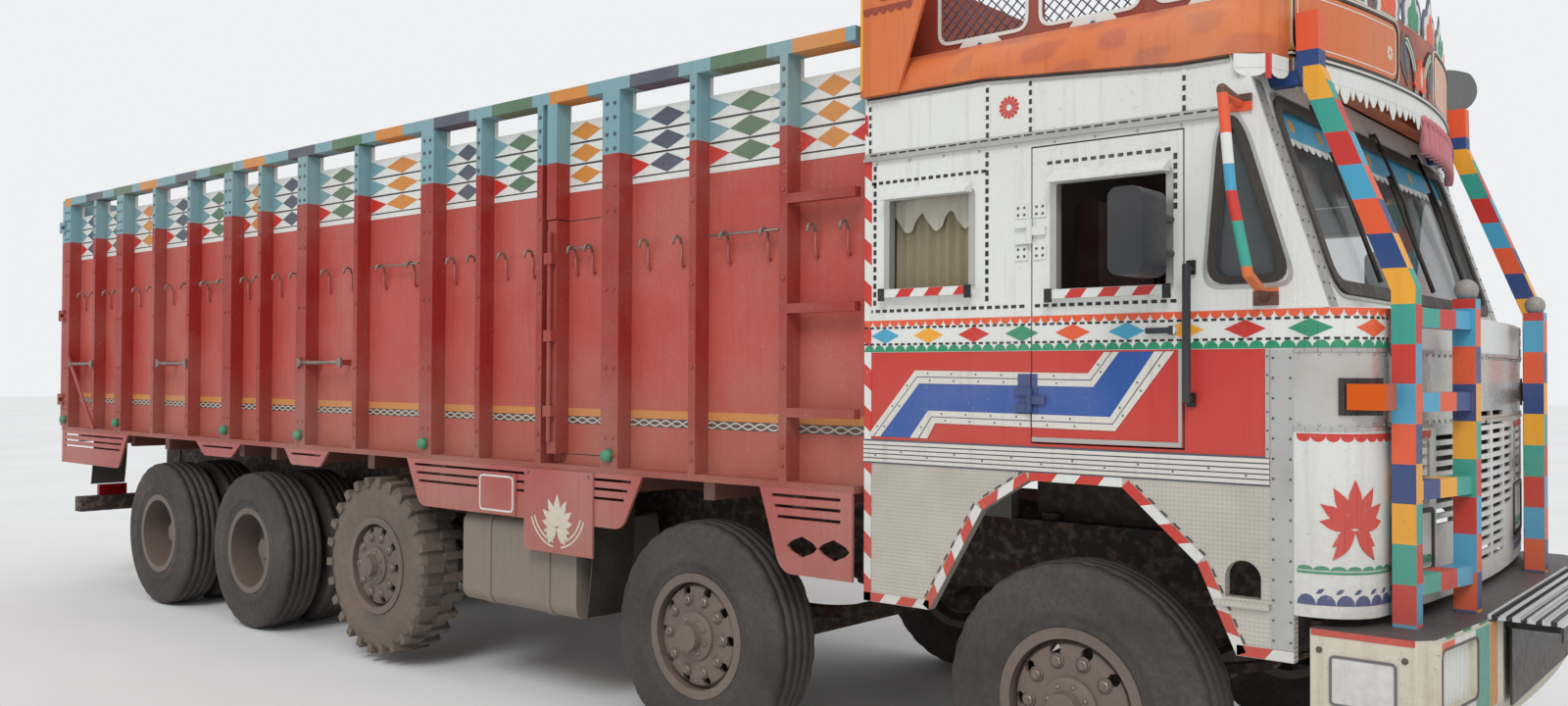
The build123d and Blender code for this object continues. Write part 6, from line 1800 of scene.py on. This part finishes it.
class TRUCK_OT_crown(bpy.types.Operator):
    """Dresses the visor with painted panels, sheet crests, a jagged fringe, an ear and tassels."""

    bl_idname = "truck.crown"
    bl_label = "Crown"

    def sign(self, paint, wall, start, end, key):
        """A bare painted panel in a rounded double border."""
        low, high = VISOR_Z
        panel = rectangle(start, end, low + 0.040, high - 0.022)
        wall.lay(paint, rounded(grown(panel, -0.004), 0.05), key, 0.002)
        wall.fill(paint, ring(panel, 0.0, 0.009, 0.05), "black", 0.005)
        wall.fill(paint, ring(panel, -0.010, 0.017, 0.05), "cream", 0.004)
        wall.fill(paint, ring(grown(panel, -0.022), 0.0, 0.004, 0.035), "white", 0.003)
        middle, height = (start + end) / 2, (low + high) / 2
        for place in (middle - (end - start) * 0.40, middle + (end - start) * 0.40):
            wall.fill(paint, petals(place, height, 8, 0.008, 0.028), "cream", 0.003)

    def centre(self, paint, wall, middle):
        """Dark leaves and banded bows on both sides of the crown's middle."""
        low = VISOR_Z[0]
        for turn in (-1, 1):
            for out, up, size, key, lift in ((0.150, 0.045, (0.210, 0.100), "chocolate", 0.004),
                                             (0.156, 0.070, (0.150, 0.034), "slate", 0.006)):
                wall.lay(paint, leaf(middle + turn * out, low + up, turn * 0.30, *size), key, lift)
            span = (180, 112) if turn > 0 else (0, 68)
            for k, key in enumerate(("black", "cream", "green", "cream", "black")):
                band = bow(middle + turn * 0.250, low + 0.030, 0.176 + k * 0.010, *span, 0.009)
                wall.fill(paint, band, key, 0.0065 + 0.0004 * k)
        wall.stack(paint, lotus(middle, low + 0.055, 0.120), "orange_red", 0.009)
        wall.lay(paint, leaf(middle, low + 0.055, 0.0, 0.085, 0.022), "cream", 0.013)

    def execute(self, context):
        wall = visor_wall()
        length = wall.marks[-1]
        paint, crests, fringe, tassels = Piece(), Piece(), Piece(), Piece()
        low, high = VISOR_Z
        self.sign(paint, wall, length * 0.625, length - 0.030, "orange")
        self.sign(paint, wall, 0.030, length * 0.375, "blush")
        self.centre(paint, wall, length / 2)
        top = visor_wall(-0.010)
        count = 7
        for n in range(count):
            middle = 0.17 + (length - 0.34) * n / (count - 1)
            rise = 1.0 + 0.45 * math.sin(math.pi * n / (count - 1))
            for size, key, push, base in ((1.0, "slate", 0.003, -0.012), (0.76, "white", 0.003, -0.009),
                                          (0.52, ("orange_red", "green")[n % 2], 0.003, -0.006)):
                foot = high + 0.010 * (1 - size) * 4
                top.stack(crests, crest(middle, foot, 0.28 * size, 0.170 * size * rise), key, push, base)
        chance = random.Random(11)
        wall.lay(fringe, rectangle(0.02, length - 0.02, low - 0.046, low + 0.012), "white", 0.003, 0.002)
        place = 0.02
        while place < length - 0.05:
            width = chance.uniform(0.034, 0.075)
            drop = 0.044 + chance.uniform(0.030, 0.072)
            after = min(place + width, length - 0.02)
            tooth = [(place, low - 0.044), (after, low - 0.044), (after - width * 0.08, low - drop * 0.72),
                     (after - width * 0.42, low - drop), (place + width * 0.34, low - drop * 0.97),
                     (place + width * 0.06, low - drop * 0.66)]
            wall.lay(fringe, tooth, "white", 0.002, 0.002)
            place = after
        for height in (low + 0.012, low + 0.026):
            wall.lay(fringe, rectangle(0.0, length, height, height + 0.006), "black", 0.008, 0.001)
        wall.lay(fringe, rectangle(0.0, length, low + 0.018, low + 0.026), "bright_trim", 0.010, 0.001)
        for n in range(13):
            self.tassel(tassels, wall.at(0.03 + n * length * 0.47 / 12, low - 0.040, 0.012)[0])
        for side in SIDES.values():
            apron = Wall([(0.605, 1.240), (0.700, 1.165), (0.722, 1.062)], 0.0, side)
            edge = apron.marks[-1]
            apron.lay(fringe, rectangle(0.0, edge, 2.725, 2.773), "white", 0.002)
            apron.fill(fringe, scallops(0.0, edge, 2.727, edge / 2, 0.030), "white", 0.002)
            apron.lay(fringe, rectangle(edge * 0.46, edge * 0.54, 2.690, 2.773), "signal_red", 0.0015, 0.003)
        ear = rounded([(0.0, -0.080), (0.022, -0.075), (0.050, -0.010), (0.110, 0.055), (0.190, 0.100),
                       (0.225, 0.150), (0.222, 0.200), (0.180, 0.245), (0.090, 0.250), (0.0, 0.245)], 0.03)
        face = Board((0.700, 1.052, low + 0.110), (0.42, 0.91, 0), (0, 0, 1))
        face.lay(crests, ear, "steel_grey", 0.012)
        paint.done("visor_panels", "truck", "front_visor")
        crests.done("crown_crests", "truck", "front_visor")
        fringe.done("crown_fringe", "truck", "front_visor")
        tassels.done("crown_tassels", "truck", "seats")
        return {"FINISHED"}

    def tassel(self, piece, place):
        """A bound head and a flared skirt of threads, hanging from a place."""
        outline = ((0.006, 0.0), (0.014, -0.010), (0.015, -0.022), (0.007, -0.030), (0.013, -0.050),
                   (0.019, -0.120), (0.017, -0.150))
        ahead, left, up = Matrix.Identity(3)
        rings = [piece.circle(place + up * drop, ahead, left, radius, 10) for radius, drop in outline]
        piece.skin(rings, "tassel")


# Bumper, wheels and underside


def bumper_wall(side, reach=0.0):
    """The bumper's face from its side end round to the truck's middle."""
    points = [(0.845, 1.236 + reach), (1.145, 1.236 + reach), (1.195 + reach, 1.180)]
    bow_line = round_arc(points[-1], (1.256 + reach, 0), (1.195 + reach, -1.180), 24)
    return Wall(points + bow_line[1:13], 0.845, side)


class TRUCK_OT_bumper_dress(bpy.types.Operator):
    """Frames the headlamps in painted blocks and fits the bumper's plain side plate and bolts."""

    bl_idname = "truck.bumper_dress"
    bl_label = "Bumper Dress"

    def surround(self, piece, wall, start, lamp_low, lamp_high, end):
        """Wide blocks of colour painted round the headlamp."""
        third = start + (lamp_high - start) * 0.34
        last = lamp_high + 0.125
        for bottom, top in ((0.886, 0.911), (0.642, 0.699)):
            for low, high, key in ((start, third, "orange_red"), (third, lamp_high - 0.02, "white"),
                                   (lamp_high - 0.02, last, "teal")):
                wall.lay(piece, rectangle(low, high, bottom, top), key, 0.002)
        wall.lay(piece, rectangle(start, lamp_low - 0.001, 0.699, 0.886), "orange_red", 0.002)
        wall.lay(piece, rectangle(lamp_high + 0.004, last, 0.699, 0.886), "teal", 0.002)
        wall.lay(piece, rectangle(last + 0.010, min(end, last + 0.085), 0.642, 0.911), "ochre", 0.002)

    def dress(self, side, piece):
        """One side of the truck."""
        skin, proud = bumper_wall(side), bumper_wall(side, 0.014)
        lamp_low, lamp_high, end = proud.where(1.172), proud.where(0.860), proud.where(0.578)
        self.surround(piece, proud, proud.where(1.179), lamp_low, lamp_high, end)
        lamp = rectangle(lamp_low, lamp_high, 0.700, 0.885)
        proud.fill(piece, ring(lamp, 0.0, 0.008, 0.02), "black", 0.004)
        skin.lay(piece, rectangle(0.848, 1.150, 0.899, 0.919), "signal_red", 0.002)
        corner = skin.where(1.185)
        for n, outline in enumerate(dashes(corner, skin.where(0.72), 0.9125, 0.9195, 0.075, 1.0)):
            skin.lay(piece, outline, ("white", "green")[n % 2], 0.003)
        plate = rectangle(0.905, 1.098, 0.690, 0.842)
        skin.lay(piece, plate, "white", 0.003)
        skin.fill(piece, ring(plate, 0.006, 0.002, 0.01), "slate", 0.005)
        for x, z in ((0.872, 0.60), (0.872, 0.855), (1.122, 0.60), (1.122, 0.855)):
            piece.dome(*skin.at(x, z, 0.0), 0.011, 0.009, "black", 6)

    def execute(self, context):
        both_sides(self.dress, bumper_dress="bumper")
        return {"FINISHED"}


WHEELS = {1: (0.0, 0.520), 2: (-1.877, 0.520), 3: (-4.513, 0.575), 4: (-6.047, 0.520), 5: (-7.417, 0.520)}
OUTER_TRACK, INNER_TRACK = 1.096, 0.772


def tread(track):
    """A road tyre's section as (radius, place across): grooved crown, scuffed shoulders, ribbed walls."""
    half = 0.139
    side = [(0.256, 0.117), (0.300, 0.131), (0.330, 0.136), (0.334, 0.139), (0.352, 0.139), (0.356, 0.1365),
            (0.410, 0.138), (0.448, 0.136), (0.475, 0.128), (0.492, 0.125), (0.506, 0.118), (0.513, 0.106)]
    crown = [(0.5170, 0.080), (0.5080, 0.078), (0.5080, 0.068), (0.5185, 0.066), (0.5195, 0.030),
             (0.5085, 0.028), (0.5085, 0.018), (0.5200, 0.016)]
    right = side + crown
    left = [(radius, -across) for radius, across in reversed(right)]
    return [(radius, track + min(max(across, -half), half)) for radius, across in right + left]


class TRUCK_OT_wheels(bpy.types.Operator):
    """Makes the grooved road tyres, the wheel nuts and the hub bolts."""

    bl_idname = "truck.wheels"
    bl_label = "Wheels"

    steps = 90

    def scuffs(self):
        """Shoulder cuts and small knocks in the tread, the same on every run."""
        chance = random.Random(7)
        wear = [chance.uniform(-0.0016, 0.0) for _ in range(self.steps)]

        def radius_at(k, radius):
            if 0.500 < radius < 0.5175 and k % 3 == 0:
                return radius - 0.006
            return radius + wear[k] if radius > 0.49 else radius
        return radius_at

    def nuts(self, piece, centre, side, out, pitch, count, turn, radius, height):
        """Nuts on their washers, in a circle round a wheel's centre."""
        middle = Vector((centre[0], side * out, centre[1]))
        for n in range(count):
            angle = 2 * math.pi * n / count + turn
            place = middle + Vector((math.sin(angle), 0, math.cos(angle))) * pitch
            piece.dome(place, (0, side, 0), radius, height, "bare_steel", 6)
            piece.dome(place, (0, side, 0), radius * 1.25, height * 0.2, "rim_paint", 12)

    def execute(self, context):
        for number, (x, z) in WHEELS.items():
            for side_name, side in SIDES.items():
                body, centre = f"wheel_{number}_{side_name}", (x + AXLE, z)
                turn = 0 if side > 0 else math.radians(18)
                nuts = Piece()
                single = number < 4
                seat = 1.214 if single else 0.954
                self.nuts(nuts, centre, side, seat, 0.167, 10, turn, 0.024, 0.021)
                hub, ring_radius = (1.238, 0.080) if single else (1.088, 0.084)
                self.nuts(nuts, centre, side, hub, ring_radius, 8, turn, 0.009, 0.009)
                nuts.done(f"wheel_nuts_{number}_{side_name}", body, "rim")
                if number == 3:
                    continue
                tyres = Piece()
                for track in (OUTER_TRACK,) if single else (OUTER_TRACK, INNER_TRACK):
                    outline = tread(side * track)
                    tyres.lathe(outline, (x + AXLE, 0, z), "tyre_rubber", self.steps, self.scuffs())
                tyres.done(f"road_tyre_{number}_{side_name}", body, "tyre", (f"tyre_{number}_{side_name}",))
        return {"FINISHED"}


class TRUCK_OT_underside(bpy.types.Operator):
    """Hangs the mudflaps and paints the boards under the body."""

    bl_idname = "truck.underside"
    bl_label = "Underside"

    def flap(self, piece, x, low, high, bottom, top):
        """A rubber flap with a gentle curl at its foot, drawn in strips."""
        rows = 8
        for n in range(rows):
            (ahead, a), (behind, b) = ((x + AXLE - 0.05 * share ** 2, top + (bottom - top) * share)
                                       for share in (n / rows, (n + 1) / rows))
            corners = [(ahead, low, a), (ahead, high, a), (behind, high, b), (behind, low, b)]
            piece.prism([Vector(corner) for corner in corners], (0.008, 0, 0), "rubber")

    def execute(self, context):
        flaps, boards = Piece(), Piece()
        for side in (-1, 1):
            self.flap(flaps, -8.72, *sorted((side * 0.92, side * 1.18)), 0.800, 1.225)
            self.flap(flaps, -2.60, *sorted((side * 0.93, side * 1.20)), 0.50, 1.12)
        face = Wall([(-9.19, 1.262), (-0.95, 1.262)], -9.19, -1)
        lift = sizes().paint_lift
        face.stack(boards, lotus(-2.805, 0.945, 0.160), "cream", lift)
        for turn in (-1, 1):
            sprays = [leaf(-2.805, 0.935, turn * (1.75 + 0.35 * k), 0.105, 0.032) for k in range(3)]
            face.stack(boards, sprays, "cream", lift * 3)
            for radius in (0.185, 0.210):
                span = (200, 262) if turn < 0 else (278, 340)
                face.fill(boards, bow(-2.805, 1.055, radius, *span, 0.010), "cream", lift)
        board = rectangle(-3.450, -3.160, 0.985, 1.175)
        face.fill(boards, ring(board, 0.010, 0.0, 0.02), "white", lift)
        for x in (-3.43, -3.18, -3.04, -2.57):
            boards.dome(*face.at(x, 1.205 if x > -3.1 else 1.180, 0.0), 0.009, 0.006, "slate", 6)
        flaps.done("mudflaps", "truck", "rear_underrun")
        boards.done("painted_boards", "truck", "valance")
        return {"FINISHED"}


# Panel, registration and the run


OPERATORS = (
    TRUCK_OT_stage,
    TRUCK_OT_frame_paint,
    TRUCK_OT_slat_diamonds,
    TRUCK_OT_rope_hooks,
    TRUCK_OT_body_fittings,
    TRUCK_OT_rear_fittings,
    TRUCK_OT_cab_belt,
    TRUCK_OT_cab_panel,
    TRUCK_OT_striped_edges,
    TRUCK_OT_window_trims,
    TRUCK_OT_curtains,
    TRUCK_OT_cab_top_trims,
    TRUCK_OT_door_fittings,
    TRUCK_OT_cowl_dress,
    TRUCK_OT_windscreen_dress,
    TRUCK_OT_carrier_dress,
    TRUCK_OT_crown,
    TRUCK_OT_bumper_dress,
    TRUCK_OT_wheels,
    TRUCK_OT_underside,
)


class TRUCK_PT_workshop(bpy.types.Panel):
    """Lists the pieces of the truck in the order in which they're made."""

    bl_idname = "TRUCK_PT_workshop"
    bl_label = "Decorated Truck"
    bl_space_type = "VIEW_3D"
    bl_region_type = "UI"
    bl_category = "Truck"

    def draw(self, context):
        for operator in OPERATORS:
            self.layout.operator(operator.bl_idname)
        for group in (context.scene.truck_colours, context.scene.truck_sizes):
            column = self.layout.column(align=True)
            for name in group.__annotations__:
                column.prop(group, name)


CLASSES = (TruckColours, TruckSizes, *OPERATORS, TRUCK_PT_workshop)


def register():
    for item in CLASSES:
        bpy.utils.register_class(item)
    bpy.types.Scene.truck_colours = PointerProperty(type=TruckColours)
    bpy.types.Scene.truck_sizes = PointerProperty(type=TruckSizes)


def unregister():
    del bpy.types.Scene.truck_sizes
    del bpy.types.Scene.truck_colours
    for item in reversed(CLASSES):
        bpy.utils.unregister_class(item)


def main():
    register()
    for operator in OPERATORS:
        group, name = operator.bl_idname.split(".")
        getattr(getattr(bpy.ops, group), name)()


if __name__ == "__main__":
    main()
